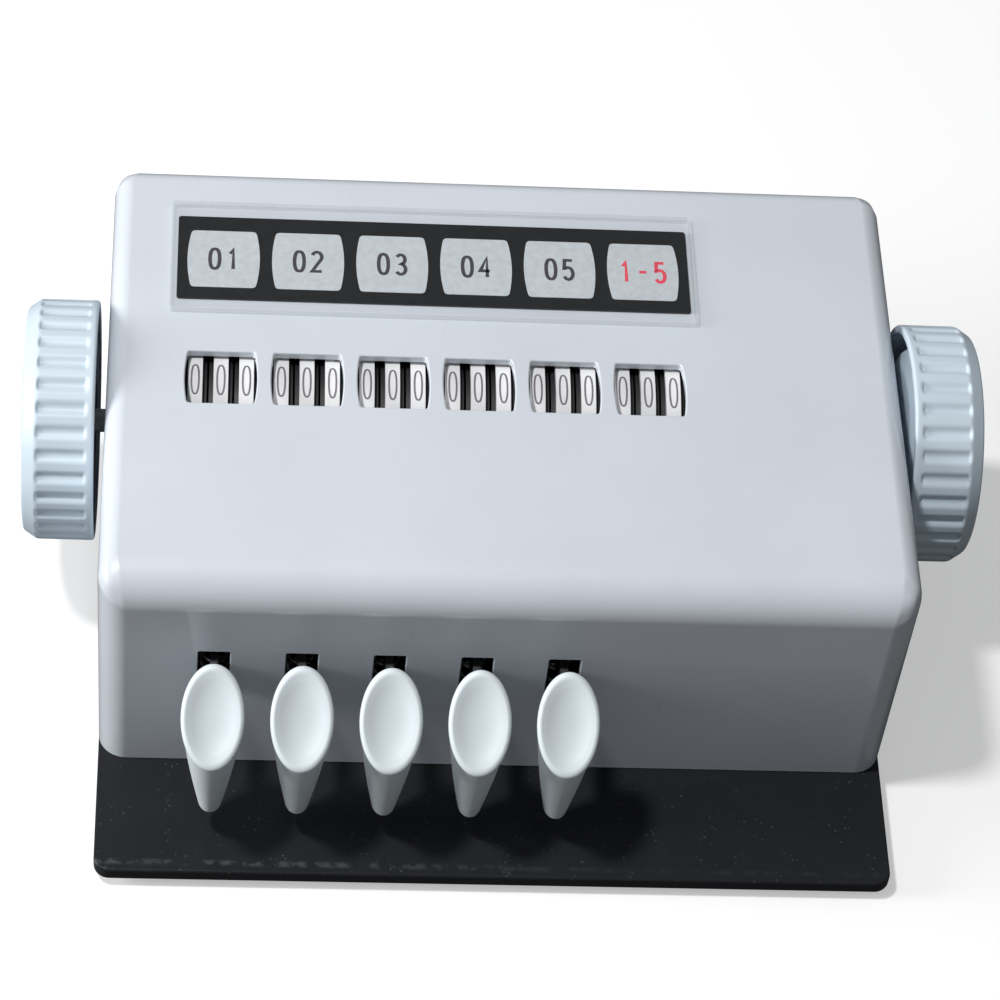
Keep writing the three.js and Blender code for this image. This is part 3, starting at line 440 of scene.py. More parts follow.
def squared_oval(steps=24):
    """An oval with straighter sides, for the nought."""
    points = []
    for step in range(steps):
        turned = 2 * math.pi * step / steps
        x = math.cos(turned)
        y = math.sin(turned)
        points.append((math.copysign(abs(x) ** 0.75, x), math.copysign(abs(y) ** 0.9, y)))
    return points


def turned_about(strokes):
    """The same strokes, turned half way round."""
    return [([(-x, -y) for x, y in points], closed) for points, closed in strokes]


FIVE_TOP = [(0.85, 0.97), (-0.72, 0.97), (-0.85, 0.12)]
SIX = [
    (arc(0, -0.42, 1, 0.58, 0, 345, 18), True),
    (arc(0.35, -0.42, 1.35, 1.42, 180, 72, 9), False),
]
# Each figure is a list of strokes in a box from -1 to 1: points, and whether the stroke closes.
FIGURES = {
    "0": [(squared_oval(), True)],
    "1": [([(-0.5, 0.55), (0.15, 0.98), (0.15, -1)], False)],
    "2": [(arc(0, 0.5, 1, 0.5, 160, -28) + [(-1, -0.97), (1, -0.97)], False)],
    "3": [(arc(-0.05, 0.52, 0.9, 0.48, 150, -90) + arc(-0.05, -0.48, 1, 0.52, 80, -150), False)],
    "4": [([(0.45, -1), (0.45, 0.95), (-1, -0.38), (1, -0.38)], False)],
    "5": [(FIVE_TOP + arc(-0.05, -0.38, 1, 0.62, 125, -150), False)],
    "6": SIX,
    "7": [([(-1, 0.97), (0.95, 0.97), (-0.25, -1)], False)],
    "8": [(arc(0, 0.5, 0.85, 0.5, 0, 340, 17), True), (arc(0, -0.48, 1, 0.52, 0, 340, 17), True)],
    "9": turned_about(SIX),
    "-": [([(-0.75, 0), (0.75, 0)], False)],
}


def ribbon(bm, points, closed, half, place, low, high):
    """A thin closed strip of even width along points. place turns (x, y, level) into a place."""
    count = len(points)
    rows = []
    for index, point in enumerate(points):
        here = Vector(point)
        before = Vector(points[index - 1]) if closed or index else None
        after = Vector(points[(index + 1) % count]) if closed or index < count - 1 else None
        ways = [(here - before).normalized()] if before is not None else []
        ways += [(after - here).normalized()] if after is not None else []
        way = sum(ways, Vector((0, 0))).normalized()
        out = Vector((-way.y, way.x))
        lean = max(abs(way.dot(ways[0])), 0.55)
        shift = out * half / lean
        left = here + shift
        right = here - shift
        edges = ((left, high), (right, high), (right, low), (left, low))
        rows.append([place(*edge, level) for edge, level in edges])
    return loft(bm, rows, closed=closed)


def figure(bm, text, sizes, place, index):
    """One printed figure, of the sizes' figure width, figure height and stroke."""
    reach_x = (sizes.figure_width - sizes.stroke) / 2
    reach_y = (sizes.figure_height - sizes.stroke) / 2
    for points, closed in FIGURES[text]:
        scaled = [(x * reach_x, y * reach_y) for x, y in points]
        half = sizes.stroke / 2
        for face in ribbon(bm, scaled, closed, half, place, FIGURE_SINK, FIGURE_RISE):
            face.material_index = index


# ---------------------------------------------------------------- finishes


def add(tree, kind, inputs=None, **settings):
    """A node with its settings, and its inputs linked or set."""
    node = tree.nodes.new(kind)
    for key, value in settings.items():
        setattr(node, key, value)
    for key, value in (inputs or {}).items():
        if isinstance(value, NodeSocket):
            tree.links.new(value, node.inputs[key])
        else:
            node.inputs[key].default_value = value
    return node


class Recipe:
    """One material: a Principled shader, with shorthand for the patterns that feed it."""

    def __init__(self, name, **sockets):
        self.material = bpy.data.materials.new(name)
        self.material.use_nodes = True
        self.tree = self.material.node_tree
        self.shader = self.tree.nodes["Principled BSDF"]
        self.place = self.node("ShaderNodeTexCoord").outputs["Object"]
        for key, value in sockets.items():
            self.shader.inputs[key.replace("_", " ")].default_value = value

    def node(self, kind, inputs=None, **settings):
        return add(self.tree, kind, inputs, **settings)

    def feed(self, socket, value):
        self.tree.links.new(value, self.shader.inputs[socket])

    def stretched(self, x, y, z):
        return self.node("ShaderNodeMapping", {"Vector": self.place, "Scale": (x, y, z)}).outputs[0]

    def noise(self, scale, detail=2.0, vector=None):
        inputs = {"Vector": vector or self.place, "Scale": scale, "Detail": detail}
        return self.node("ShaderNodeTexNoise", inputs).outputs["Fac"]

    def spread(self, value, low, high, to_low=0.0, to_high=1.0):
        inputs = {"Value": value, "From Min": low, "From Max": high}
        inputs.update({"To Min": to_low, "To Max": to_high})
        return self.node("ShaderNodeMapRange", inputs).outputs["Result"]

    def sum_of(self, operation, *values):
        return self.node("ShaderNodeMath", dict(enumerate(values)), operation=operation).outputs[0]

    def times(self, first, second):
        return self.sum_of("MULTIPLY", first, second)

    def mixed(self, share, first, second):
        inputs = {0: share, 6: first, 7: second}
        return self.node("ShaderNodeMix", inputs, data_type="RGBA").outputs[2]

    def bump(self, height, distance, strength):
        inputs = {"Height": height, "Distance": distance, "Strength": strength}
        return self.node("ShaderNodeBump", inputs).outputs["Normal"]

    def uneven(self, rgb, share, darker, lighter):
        """Feeds the colour, from a darker to a lighter shade of it."""
        self.feed("Base Color", self.mixed(share, shade(rgb, darker), shade(rgb, lighter)))


def shade(rgb, factor):
    """A colour made lighter or darker by a factor."""
    return tuple(min(1.0, channel * factor) for channel in rgb[:3]) + (1.0,)


def enamel(name, rgb, **sockets):
    """Sprayed enamel: faint cloudiness, orange peel and uneven gloss."""
    recipe = Recipe(name, **sockets)
    cloud = recipe.spread(recipe.noise(22.0, 3.0), 0.3, 0.7)
    recipe.uneven(rgb, cloud, 0.965, 1.03)
    recipe.feed("Roughness", recipe.spread(recipe.noise(90.0, 3.0), 0.3, 0.7, 0.27, 0.37))
    recipe.feed("Normal", recipe.bump(recipe.noise(420.0, 2.0), 0.03 * MM, 0.5))
    return recipe


def moulding(name, rgb, rough, grain):
    """Moulded plastic: slight flow marks, fine grain and handling shine."""
    recipe = Recipe(name)
    flow = recipe.spread(recipe.noise(45.0, 2.0, recipe.stretched(0.5, 1.0, 1.6)), 0.3, 0.7)
    recipe.uneven(rgb, flow, 0.96, 1.035)
    shine = recipe.spread(recipe.noise(130.0, 3.0), 0.3, 0.7, rough - 0.05, rough + 0.06)
    recipe.feed("Roughness", shine)
    recipe.feed("Normal", recipe.bump(recipe.noise(1800.0, 2.0), grain, 0.4))
    return recipe.material


def printed(name, rgb, rough):
    """Printed or coated card: fine paper tooth and slightly uneven ink."""
    recipe = Recipe(name)
    tooth = recipe.spread(recipe.noise(700.0, 4.0), 0.25, 0.75)
    recipe.uneven(rgb, tooth, 0.9, 1.08)
    shine = recipe.spread(recipe.noise(300.0, 2.0), 0.3, 0.7, rough - 0.06, rough + 0.06)
    recipe.feed("Roughness", shine)
    recipe.feed("Normal", recipe.bump(recipe.noise(2200.0, 2.0), 0.01 * MM, 0.3))
    return recipe.material


def metal(name, rgb, rough, stretch):
    """Worked metal: drawn lines, stretched along one axis, and a few darker stains."""
    recipe = Recipe(name, Metallic=1.0)
    lines = recipe.noise(900.0, 3.0, recipe.stretched(*stretch))
    stain = recipe.spread(recipe.noise(60.0, 4.0), 0.35, 0.75)
    recipe.uneven(rgb, stain, 1.0, 0.72)
    recipe.feed("Roughness", recipe.spread(lines, 0.25, 0.75, rough - 0.08, rough + 0.12))
    recipe.feed("Normal", recipe.bump(lines, 0.02 * MM, 0.35))
    return recipe.material


def plate_enamel(colours, front_edge):
    """Gloss black enamel with pale dust and a broken worn line along the front edge."""
    recipe = enamel("black_enamel", colours.paint, Specular_IOR_Level=0.12)
    cells = recipe.node("ShaderNodeTexVoronoi", {"Vector": recipe.place, "Scale": 620.0})
    dot = recipe.spread(cells.outputs["Distance"], 0.22, 0.12)
    patch = recipe.spread(recipe.noise(140.0, 2.0), 0.50, 0.62)
    dust = recipe.times(recipe.times(dot, patch), 0.6)
    split = recipe.node("ShaderNodeSeparateXYZ", {"Vector": recipe.place}).outputs
    line = front_edge + colours.scuff_setback
    off = recipe.sum_of("ABSOLUTE", recipe.sum_of("SUBTRACT", split["Y"], line))
    worn = recipe.spread(off, 1.1 * MM, 0.3 * MM)
    worn = recipe.times(worn, recipe.spread(recipe.noise(330.0, 3.0), 0.46, 0.60))
    worn = recipe.times(worn, recipe.spread(split["X"], 0.02, -0.05, 0.1, 0.6))
    marks = recipe.sum_of("MAXIMUM", dust, worn)
    base = recipe.shader.inputs["Base Color"].links[0].from_socket
    recipe.feed("Base Color", recipe.mixed(marks, base, tuple(colours.speck)))
    recipe.feed("Roughness", recipe.spread(recipe.noise(90.0, 3.0), 0.3, 0.7, 0.22, 0.38))
    return recipe.material


def clear_acrylic(name, alpha, rgb):
    """Clear acrylic sheet with faint rubbing marks."""
    recipe = Recipe(name, Alpha=alpha, IOR=1.49)
    rubs = recipe.noise(260.0, 4.0, recipe.stretched(0.3, 1.4, 1.0))
    recipe.uneven(rgb, rubs, 0.97, 1.03)
    recipe.feed("Roughness", recipe.spread(rubs, 0.35, 0.75, 0.05, 0.16))
    return recipe.material


def rubber_finish():
    """Black rubber with pale dust in its grain."""
    recipe = Recipe("black_rubber")
    dust = recipe.spread(recipe.noise(160.0, 4.0), 0.45, 0.8)
    black = (0.012, 0.012, 0.012, 1.0)
    dusty = (0.05, 0.05, 0.048, 1.0)
    recipe.feed("Base Color", recipe.mixed(dust, black, dusty))
    recipe.feed("Roughness", recipe.spread(recipe.noise(400.0, 3.0), 0.3, 0.7, 0.72, 0.9))
    recipe.feed("Normal", recipe.bump(recipe.noise(900.0, 3.0), 0.05 * MM, 0.5))
    return recipe.material


def finish_named(name):
    """The finish of this name."""
    return bpy.data.materials[name]


# ---------------------------------------------------------------- geometry nodes


def start_tree(name, sockets):
    """A geometry tree with its named inputs, and the sockets of its group input."""
    tree = bpy.data.node_groups.new(name, "GeometryNodeTree")
    tree.interface.new_socket("Geometry", in_out="INPUT", socket_type="NodeSocketGeometry")
    for label, kind in sockets:
        tree.interface.new_socket(label, in_out="INPUT", socket_type="NodeSocket" + kind)
    tree.interface.new_socket("Geometry", in_out="OUTPUT", socket_type="NodeSocketGeometry")
    return tree, tree.nodes.new("NodeGroupInput").outputs


def end_tree(tree, geometry, material):
    """Realize Instances and Set Material, the last nodes of each tree."""
    real = add(tree, "GeometryNodeRealizeInstances", {"Geometry": geometry})
    inputs = {"Geometry": real.outputs[0], "Material": material}
    coated = add(tree, "GeometryNodeSetMaterial", inputs)
    add(tree, "NodeGroupOutput", {0: coated.outputs[0]})


def copies_on(tree, points, piece):
    """A copy of the piece at each point."""
    inputs = {"Points": points.outputs[0], "Instance": piece}
    return add(tree, "GeometryNodeInstanceOnPoints", inputs).outputs[0]


def corner_tree():
    """Copies of a piece at the four corners of a rectangle."""
    sockets = [("Spacing X", "Float"), ("Spacing Y", "Float"), ("Centre", "Vector")]
    tree, given = start_tree("at_four_corners", sockets + [("Material", "Material")])
    inputs = {"Size X": given["Spacing X"], "Size Y": given["Spacing Y"]}
    inputs.update({"Vertices X": 2, "Vertices Y": 2})
    corners = add(tree, "GeometryNodeMeshGrid", inputs)
    inputs = {"Geometry": corners.outputs[0], "Translation": given["Centre"]}
    moved = add(tree, "GeometryNodeTransform", inputs)
    end_tree(tree, copies_on(tree, moved, given["Geometry"]), given["Material"])
    return tree


def row_tree():
    """Copies of a piece in a straight row."""
    sockets = [("Count", "Int"), ("Start", "Vector"), ("Step", "Vector")]
    tree, given = start_tree("in_a_row", sockets + [("Material", "Material")])
    inputs = {"Count": given["Count"], "Start Location": given["Start"], "Offset": given["Step"]}
    line = add(tree, "GeometryNodeMeshLine", inputs)
    end_tree(tree, copies_on(tree, line, given["Geometry"]), given["Material"])
    return tree


def flute_tree():
    """Presses grooves into the rim of a turned knob. Its rule works on the angle round the
    axis and on the place along it."""
    sockets = [
        ("Flutes", "Int"),
        ("Depth", "Float"),
        ("Rim radius", "Float"),
        ("Axis", "Vector"),
        ("From", "Float"),
        ("To", "Float"),
        ("Material", "Material"),
    ]
    tree, given = start_tree("fluted_rim", sockets)

    def sum_of(operation, *values):
        inputs = dict(enumerate(values))
        return add(tree, "ShaderNodeMath", inputs, operation=operation).outputs[0]

    def vector_sum(operation, output, inputs):
        return add(tree, "ShaderNodeVectorMath", inputs, operation=operation).outputs[output]

    def ramp(value, low, high):
        inputs = {"Value": value, "From Min": low, "From Max": high}
        node = add(tree, "ShaderNodeMapRange", inputs, interpolation_type="SMOOTHSTEP")
        return node.outputs["Result"]

    place = add(tree, "GeometryNodeInputPosition").outputs[0]
    off = vector_sum("SUBTRACT", "Vector", {0: place, 1: given["Axis"]})
    part = add(tree, "ShaderNodeSeparateXYZ", {0: off}).outputs
    across = add(tree, "ShaderNodeCombineXYZ", {"Y": part["Y"], "Z": part["Z"]}).outputs[0]
    radius = vector_sum("LENGTH", "Value", {0: across})
    outward = vector_sum("NORMALIZE", "Vector", {0: across})
    turned = sum_of("ARCTAN2", part["Z"], part["Y"])
    groove = ramp(sum_of("COSINE", sum_of("MULTIPLY", turned, given["Flutes"])), -0.3, 1.0)
    along = sum_of("ABSOLUTE", add(tree, "ShaderNodeSeparateXYZ", {0: place}).outputs["X"])
    enter = ramp(along, given["From"], sum_of("ADD", given["From"], FLUTE_RUN_OUT))
    leave = ramp(along, given["To"], sum_of("SUBTRACT", given["To"], FLUTE_RUN_OUT))
    skin = sum_of("SUBTRACT", given["Rim radius"], 0.5 * MM)
    on_rim = ramp(radius, skin, given["Rim radius"])
    on_length = sum_of("MULTIPLY", enter, leave)
    press = sum_of("MULTIPLY", sum_of("MULTIPLY", groove, on_length), on_rim)
    back = sum_of("MULTIPLY", press, sum_of("MULTIPLY", given["Depth"], -1.0))
    shift = vector_sum("SCALE", "Vector", {0: outward, "Scale": back})
    pressed = add(tree, "GeometryNodeSetPosition", {"Geometry": given["Geometry"], "Offset": shift})
    end_tree(tree, pressed.outputs[0], given["Material"])
    return tree


def coil_tree():
    """A round wire wound into an upright coil."""
    sockets = [("Turns", "Float"), ("Radius", "Float"), ("Height", "Float"), ("Wire", "Float")]
    sockets += [("Foot", "Vector"), ("Material", "Material")]
    tree, given = start_tree("wound_coil", sockets)
    inputs = {"Resolution": 28, "Rotations": given["Turns"], "Height": given["Height"]}
    inputs.update({"Start Radius": given["Radius"], "End Radius": given["Radius"]})
    path = add(tree, "GeometryNodeCurveSpiral", inputs)
    inputs = {"Resolution": 10, "Radius": given["Wire"]}
    wire = add(tree, "GeometryNodeCurvePrimitiveCircle", inputs)
    inputs = {"Curve": path.outputs[0], "Profile Curve": wire.outputs[0], "Fill Caps": True}
    skin = add(tree, "GeometryNodeCurveToMesh", inputs)
    inputs = {"Geometry": skin.outputs[0], "Translation": given["Foot"]}
    moved = add(tree, "GeometryNodeTransform", inputs)
    end_tree(tree, moved.outputs[0], given["Material"])
    return tree


def run_tree(made, tree, **values):
    """Runs a tree on an object, with each input set by its identifier, and settles the result."""
    modifier = made.modifiers.new(tree.name, "NODES")
    modifier.node_group = tree
    for item in tree.interface.items_tree:
        key = item.name.replace(" ", "_").lower()
        if item.in_out == "INPUT" and key in values:
            modifier[item.identifier] = values[key]
    settle(made)


def at_corners(made, nodes, coat):
    """Copies a piece to four nodes that stand at the corners of a rectangle."""
    places = [middle(node) for node in nodes]
    xs = [place.x for place in places]
    ys = [place.y for place in places]
    run_tree(
        made,
        corner_tree(),
        spacing_x=max(xs) - min(xs),
        spacing_y=max(ys) - min(ys),
        centre=((min(xs) + max(xs)) / 2, (min(ys) + max(ys)) / 2, 0.0),
        material=coat,
    )


# ---------------------------------------------------------------- operators


class TALLY_OT_finishes(Operator):
    """Makes the finishes and gives every carried-over CAD node its own"""

    bl_idname = "tally.finishes"
    bl_label = "Finishes"

    def execute(self, context):
        scene = context.scene
        housing, plate, label = scene.tally_housing, scene.tally_plate, scene.tally_label
        coat = {"Coat_Weight": 1.0, "Coat_Roughness": 0.05}
        enamel("grey_enamel", housing.paint, Specular_IOR_Level=0.25, **coat)
        plate_enamel(plate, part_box("base_plate")[0].y)
        moulding("knob_moulding", scene.tally_knob.plastic, 0.42, 0.02 * MM)
        moulding("key_moulding", scene.tally_key.plastic, 0.42, 0.01 * MM)
        moulding("wheel_white", scene.tally_wheel.white, 0.45, 0.01 * MM)
        moulding("wheel_black", scene.tally_wheel.black, 0.5, 0.02 * MM)
        printed("wheel_ink", scene.tally_wheel.ink, 0.55)
        printed("label_black", label.card, 0.42)
        printed("tab_grey", label.tab, 0.6)
        printed("tab_ink", label.ink, 0.6)
        printed("total_ink", label.total_ink, 0.6)
        clear_acrylic("cover_clear", 0.035, (0.10, 0.11, 0.115))
        # Pale, part-opaque tint for the cover's rim walls: a painted highlight along the clear
        # edge.
        clear_acrylic("cover_rim", 0.2, (0.72, 0.76, 0.78))
        metal("plain_steel", (0.52, 0.53, 0.54), 0.38, (0.15, 1.0, 1.0))
        # Darker copy of the plain steel for the key levers: painted shade, so the levers read as
        # dark as the shaded slots they show through.
        metal("dark_steel", (0.16, 0.16, 0.17), 0.42, (1.0, 0.15, 1.0))
        metal("spring_wire", (0.42, 0.43, 0.45), 0.3, (1.0, 1.0, 0.4))
        metal("turned_brass", (0.66, 0.50, 0.24), 0.3, (0.15, 1.0, 1.0))
        rubber_finish()
        carried = {"steel": "plain_steel", "spring_steel": "spring_wire", "brass": "turned_brass"}
        for part in frame["record"]["subparts"]:
            name, slot = part["node"], part["material_slot"]
            if slot in carried:
                # The key levers take the darker steel, painted shade for the slots they show
                # through.
                coat = "dark_steel" if name.startswith("key_lever") else carried[slot]
                node = frame["nodes"][name]
                node.data.materials.clear()
                node.data.materials.append(finish_named(coat))
        return {"FINISHED"}


def housing_block(name, low, high, sizes, inset):
    """A box with round upright corners, a wide front bend and round top edges."""
    corner = max(sizes.corner_radius - inset, MM)
    bend = max(sizes.front_bend - inset, MM)
    edge = max(sizes.top_edge - inset, MM)
    widest = max(corner, bend, edge)
    bm = bmesh.new()
    bmesh.ops.create_cube(bm, size=1.0)
    for vert in bm.verts:
        vert.co = [low[axis] if vert.co[axis] < 0 else high[axis] for axis in range(3)]
    weight = bm.edges.layers.float.new("bevel_weight_edge")
    for line in bm.edges:
        first, second = (vert.co for vert in line.verts)
        centre = (first + second) / 2
        if abs(first.z - second.z) > MM:
            line[weight] = corner / widest
        elif centre.z > (low.z + high.z) / 2:
            line[weight] = (bend if centre.y < low.y + MM else edge) / widest
    block = object_of(name, mesh_of(name, bm))
    rounds = block.modifiers.new("rounds", "BEVEL")
    rounds.limit_method = "WEIGHT"
    rounds.width = widest
    rounds.segments = 10
    rounds.use_clamp_overlap = False
    settle(block)
    return block


class TALLY_OT_housing(Operator):
    """Builds the painted housing with its windows, key slots and shaft holes"""

    bl_idname = "tally.housing"
    bl_label = "Housing"

    def execute(self, context):
        sizes = context.scene.tally_housing
        low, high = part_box("housing")
        wall = Vector((sizes.wall, sizes.wall, sizes.wall))
        shell = housing_block("housing_shell", low, high, sizes, 0.0)
        floor = Vector((low.x + wall.x, low.y + wall.y, low.z - 2 * MM))
        hollow = housing_block("hollow", floor, high - wall, sizes, sizes.wall)
        cutters = bmesh.new()
        cutters.from_mesh(hollow.data)
        bpy.data.objects.remove(hollow)
        cut_from(shell, cutters)
        cutters = bmesh.new()
        self.windows(cutters, sizes, low, high)
        self.slots(cutters, sizes, low)
        axis = middle("counter_1_tens")
        reach = 2 * sizes.wall
        hole = [(0, -reach), (sizes.shaft_hole, -reach), (sizes.shaft_hole, reach), (0, reach)]
        for end in (low.x, high.x):
            turn(cutters, hole, (end, axis.y, axis.z), 40, "X")
        cut_from(shell, cutters)
        finish(shell, "chassis", [finish_named("grey_enamel")], ["housing"])
        self.bosses(sizes, low)
        return {"FINISHED"}

    def windows(self, bm, sizes, low, high):
        """One barrel-shaped cutter for each window, flared at its top to a soft lip."""
        y = low.y + sizes.window_setback
        corner = 0.8 * MM
        flare = 1.05
        levels = [(0.0, high.z - 2 * sizes.wall)]
        for step in range(5):
            turned = math.radians(19 * step)
            rise = sizes.lip * (1 - math.sin(turned))
            levels.append((sizes.lip * (1 - math.cos(turned)), high.z - rise))
        for bank in BANKS:
            x = middle(bank + "_tens").x
            rings = []
            for out, z in levels:
                width = sizes.window_width + 2 * out
                depth = sizes.window_depth + 2 * out
                outline = barrel_outline(width, depth, sizes.window_bow, corner)
                rings.append([(x + u, y + v, z) for u, v in outline])
            rings.append([(x + flare * u, y + flare * v, high.z + MM) for u, v in outline])
            loft(bm, rings)

    def slots(self, bm, sizes, low):
        """One upright cutter for each key slot, flared in front to a soft lip."""
        plate_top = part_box("base_plate")[1].z
        half = sizes.slot_width / 2
        # Depth behind the front face, and how far the cutter spreads there.
        profile = [
            (2 * sizes.wall, 0),
            (sizes.lip, 0),
            (0.3 * sizes.lip, 0.3 * sizes.lip),
            (-MM, sizes.lip + MM),
        ]
        for key in range(1, KEYS + 1):
            x = middle(f"counter_{key}_tens").x
            rings = []
            for depth, out in profile:
                outline = rounded_outline(
                    x - half - out,
                    x + half + out,
                    plate_top + sizes.slot_low - out,
                    plate_top + sizes.slot_high + out,
                    0.5 * MM + out,
                    4,
                )
                rings.append([(u, low.y + depth, v) for u, v in outline])
            loft(bm, rings)

    def bosses(self, sizes, low):
        """Four tubes inside the corners, which take the base screws."""
        bm = bmesh.new()
        section = [
            (sizes.boss_bore, 0),
            (sizes.boss_radius, 0),
            (sizes.boss_radius, sizes.boss_height),
            (sizes.boss_bore, sizes.boss_height),
        ]
        turn(bm, eased(section, 0.3 * MM, 2), (0, 0, low.z), 32)
        bosses = object_of("screw_bosses", mesh_of("screw_bosses", bm))
        paint = finish_named("grey_enamel")
        at_corners(bosses, SCREWS, paint)
        finish(bosses, "chassis", [paint])


class TALLY_OT_base_plate(Operator):
    """Builds the black base plate with its soft edges, screw recesses and foot holes"""

    bl_idname = "tally.base_plate"
    bl_label = "Base plate"

    def execute(self, context):
        sizes = context.scene.tally_plate
        low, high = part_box("base_plate")
        rings = []
        for level, towards, steps in ((low.z, 1, range(5)), (high.z, -1, range(4, -1, -1))):
            for step in steps:
                turned = math.radians(22.5 * step)
                inset = sizes.edge_round * (1 - math.sin(turned))
                z = level + towards * sizes.edge_round * (1 - math.cos(turned))
                rings.append(inset_ring(low, high, inset, sizes.corner_radius - inset, z))
        bm = bmesh.new()
        loft(bm, rings)
        plate = object_of("base_plate_black", mesh_of("base_plate_black", bm))
        cutters = bmesh.new()
        head, deep, shank = sizes.recess_radius, sizes.recess_depth, sizes.screw_hole
        through = 2 * (high.z - low.z)
        recess = [(0, -MM), (head, -MM), (head, deep)]
        recess += [(shank, deep), (shank, through), (0, through)]
        stem, stem_depth = sizes.foot_hole, sizes.foot_hole_depth
        hole = [(0, -MM), (stem, -MM), (stem, stem_depth), (0, stem_depth)]
        for screw, foot in zip(SCREWS, FEET):
            for node, section in ((screw, recess), (foot, hole)):
                place = middle(node)
                turn(cutters, section, (place.x, place.y, low.z), 32)
        cut_from(plate, cutters)
        finish(plate, "chassis", [finish_named("black_enamel")], ["base_plate"])
        return {"FINISHED"}


class TALLY_OT_feet(Operator):
    """Builds the four rubber feet and the four slotted base screws"""

    bl_idname = "tally.feet"
    bl_label = "Feet and base screws"

    def execute(self, context):
        self.feet()
        self.screws()
        return {"FINISHED"}

    def feet(self):
        """A foot is hollow below, and its stem presses into the plate."""
        low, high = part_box(FEET[0])
        radius = (high.x - low.x) / 2
        hollow = 0.8 * MM
        shoulder = 2.7 * MM
        stem = 2.5 * MM
        section = [
            (0, hollow),
            (0.35 * radius, hollow),
            (0.4 * radius, 0),
            (0.88 * radius, 0),
            (radius, 0.9 * MM),
            (0.96 * radius, shoulder),
            (stem, shoulder),
            (stem, high.z),
            (0, high.z),
        ]
        bm = bmesh.new()
        turn(bm, eased(section, 0.3 * MM, 3, closed=False), (0, 0, 0), 40)
        feet = object_of("rubber_feet", mesh_of("rubber_feet", bm))
        self.settle_at(feet, FEET, "rubber", "black_rubber")

    def screws(self):
        """A cheese-headed screw with a straight driver slot, its head downwards."""
        low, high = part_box(SCREWS[0])
        radius = (high.x - low.x) / 2
        length = high.z - low.z
        head = 1.5 * MM
        shank = 1.5 * MM
        section = [
            (0, 0),
            (0.7 * radius, 0),
            (radius, 0.5 * MM),
            (radius, head),
            (shank, head),
            (shank, length - MM),
            (0.6 * MM, length),
            (0, length),
        ]
        bm = bmesh.new()
        turn(bm, eased(section, 0.2 * MM, 2, closed=False), (0, 0, low.z), 28)
        screws = object_of("base_screws", mesh_of("base_screws", bm))
        cutters = bmesh.new()
        bar = rounded_outline(-4 * MM, 4 * MM, -0.4 * MM, 0.4 * MM, 0.1 * MM, 2)
        prism(cutters, bar, low.z - MM, low.z + 0.8 * MM)
        cut_from(screws, cutters)
        self.settle_at(screws, SCREWS, "steel", "plain_steel")

    def settle_at(self, piece, nodes, slot, material):
        """Copies the piece to the nodes and gives it its finish."""
        coat = finish_named(material)
        at_corners(piece, nodes, coat)
        finish(piece, "chassis", [coat], nodes)


class TALLY_OT_label(Operator):
    """Builds the label: black card, six pale tabs with figures, clear cover"""

    bl_idname = "tally.label"
    bl_label = "Label"

    def execute(self, context):
        sizes = context.scene.tally_label
        low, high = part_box("label_card")
        bm = bmesh.new()
        prism(bm, rounded_outline(low.x, high.x, low.y, high.y, 0.7 * MM, 4), low.z, high.z)
        card = object_of("label_strip", mesh_of("label_strip", bm))
        finish(card, "chassis", [finish_named("label_black")], ["label_card"])
        y = (low.y + high.y) / 2 - sizes.tab_shift
        first = middle("counter_1_tens").x
        step = middle("counter_2_tens").x - first
        self.tabs(sizes, Vector((first, y, high.z)), step)
        self.figures(sizes, y, high.z + sizes.tab_thickness)
        self.cover()
        return {"FINISHED"}

    def tabs(self, sizes, start, step):
        """Six tabs in a row, the pitch of the counters apart."""
        outline = barrel_outline(sizes.tab_width, sizes.tab_depth, sizes.tab_bow, sizes.tab_corner)
        bm = bmesh.new()
        prism(bm, outline, -0.05 * MM, sizes.tab_thickness)
        tabs = object_of("label_tabs", mesh_of("label_tabs", bm))
        paper = finish_named("tab_grey")
        along = (step, 0.0, 0.0)
        run_tree(tabs, row_tree(), count=len(BANKS), start=start, step=along, material=paper)
        finish(tabs, "chassis", [paper])

    def figures(self, sizes, y, level):
        """01 to 05 in dark ink over the counters, and 1-5 in red over their total."""
        bm = bmesh.new()
        for index, bank in enumerate(BANKS):
            total = bank == "total"
            text = "1-5" if total else f"0{index + 1}"
            for order, letter in enumerate(text):
                shift = (order - (len(text) - 1) / 2) * sizes.figure_step

                def place(u, v, z, x=middle(bank + "_tens").x + shift):
                    return (x + u, y + v, level + z)

                figure(bm, letter, sizes, place, 1 if total else 0)
        made = object_of("label_figures", mesh_of("label_figures", bm))
        inks = [finish_named("tab_ink"), finish_named("total_ink")]
        finish(made, "chassis", inks)

    def cover(self):
        """A shallow clear tray, upside down over the card."""
        low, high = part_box("label_cover")
        rim = 0.8 * MM
        ceiling = high.z - 0.7 * MM
        soft = 0.25 * MM
        corner = 1.2 * MM
        levels = [
            (rim, ceiling),
            (rim, low.z),
            (0, low.z),
            (0, high.z - soft),
            (0.3 * soft, high.z - 0.3 * soft),
            (soft, high.z),
        ]
        bm = bmesh.new()
        loft(bm, [inset_ring(low, high, inset, corner - inset, z, 4) for inset, z in levels])
        for face in bm.faces:
            # The flat top and ceiling stay clear. The rim walls take the pale tint, a painted
            # highlight along the edge.
            face.material_index = 0 if len(face.verts) > 4 else 1
        made = object_of("label_cover_clear", mesh_of("label_cover_clear", bm))
        clear = [finish_named("cover_clear"), finish_named("cover_rim")]
        finish(made, "chassis", clear, ["label_cover"])


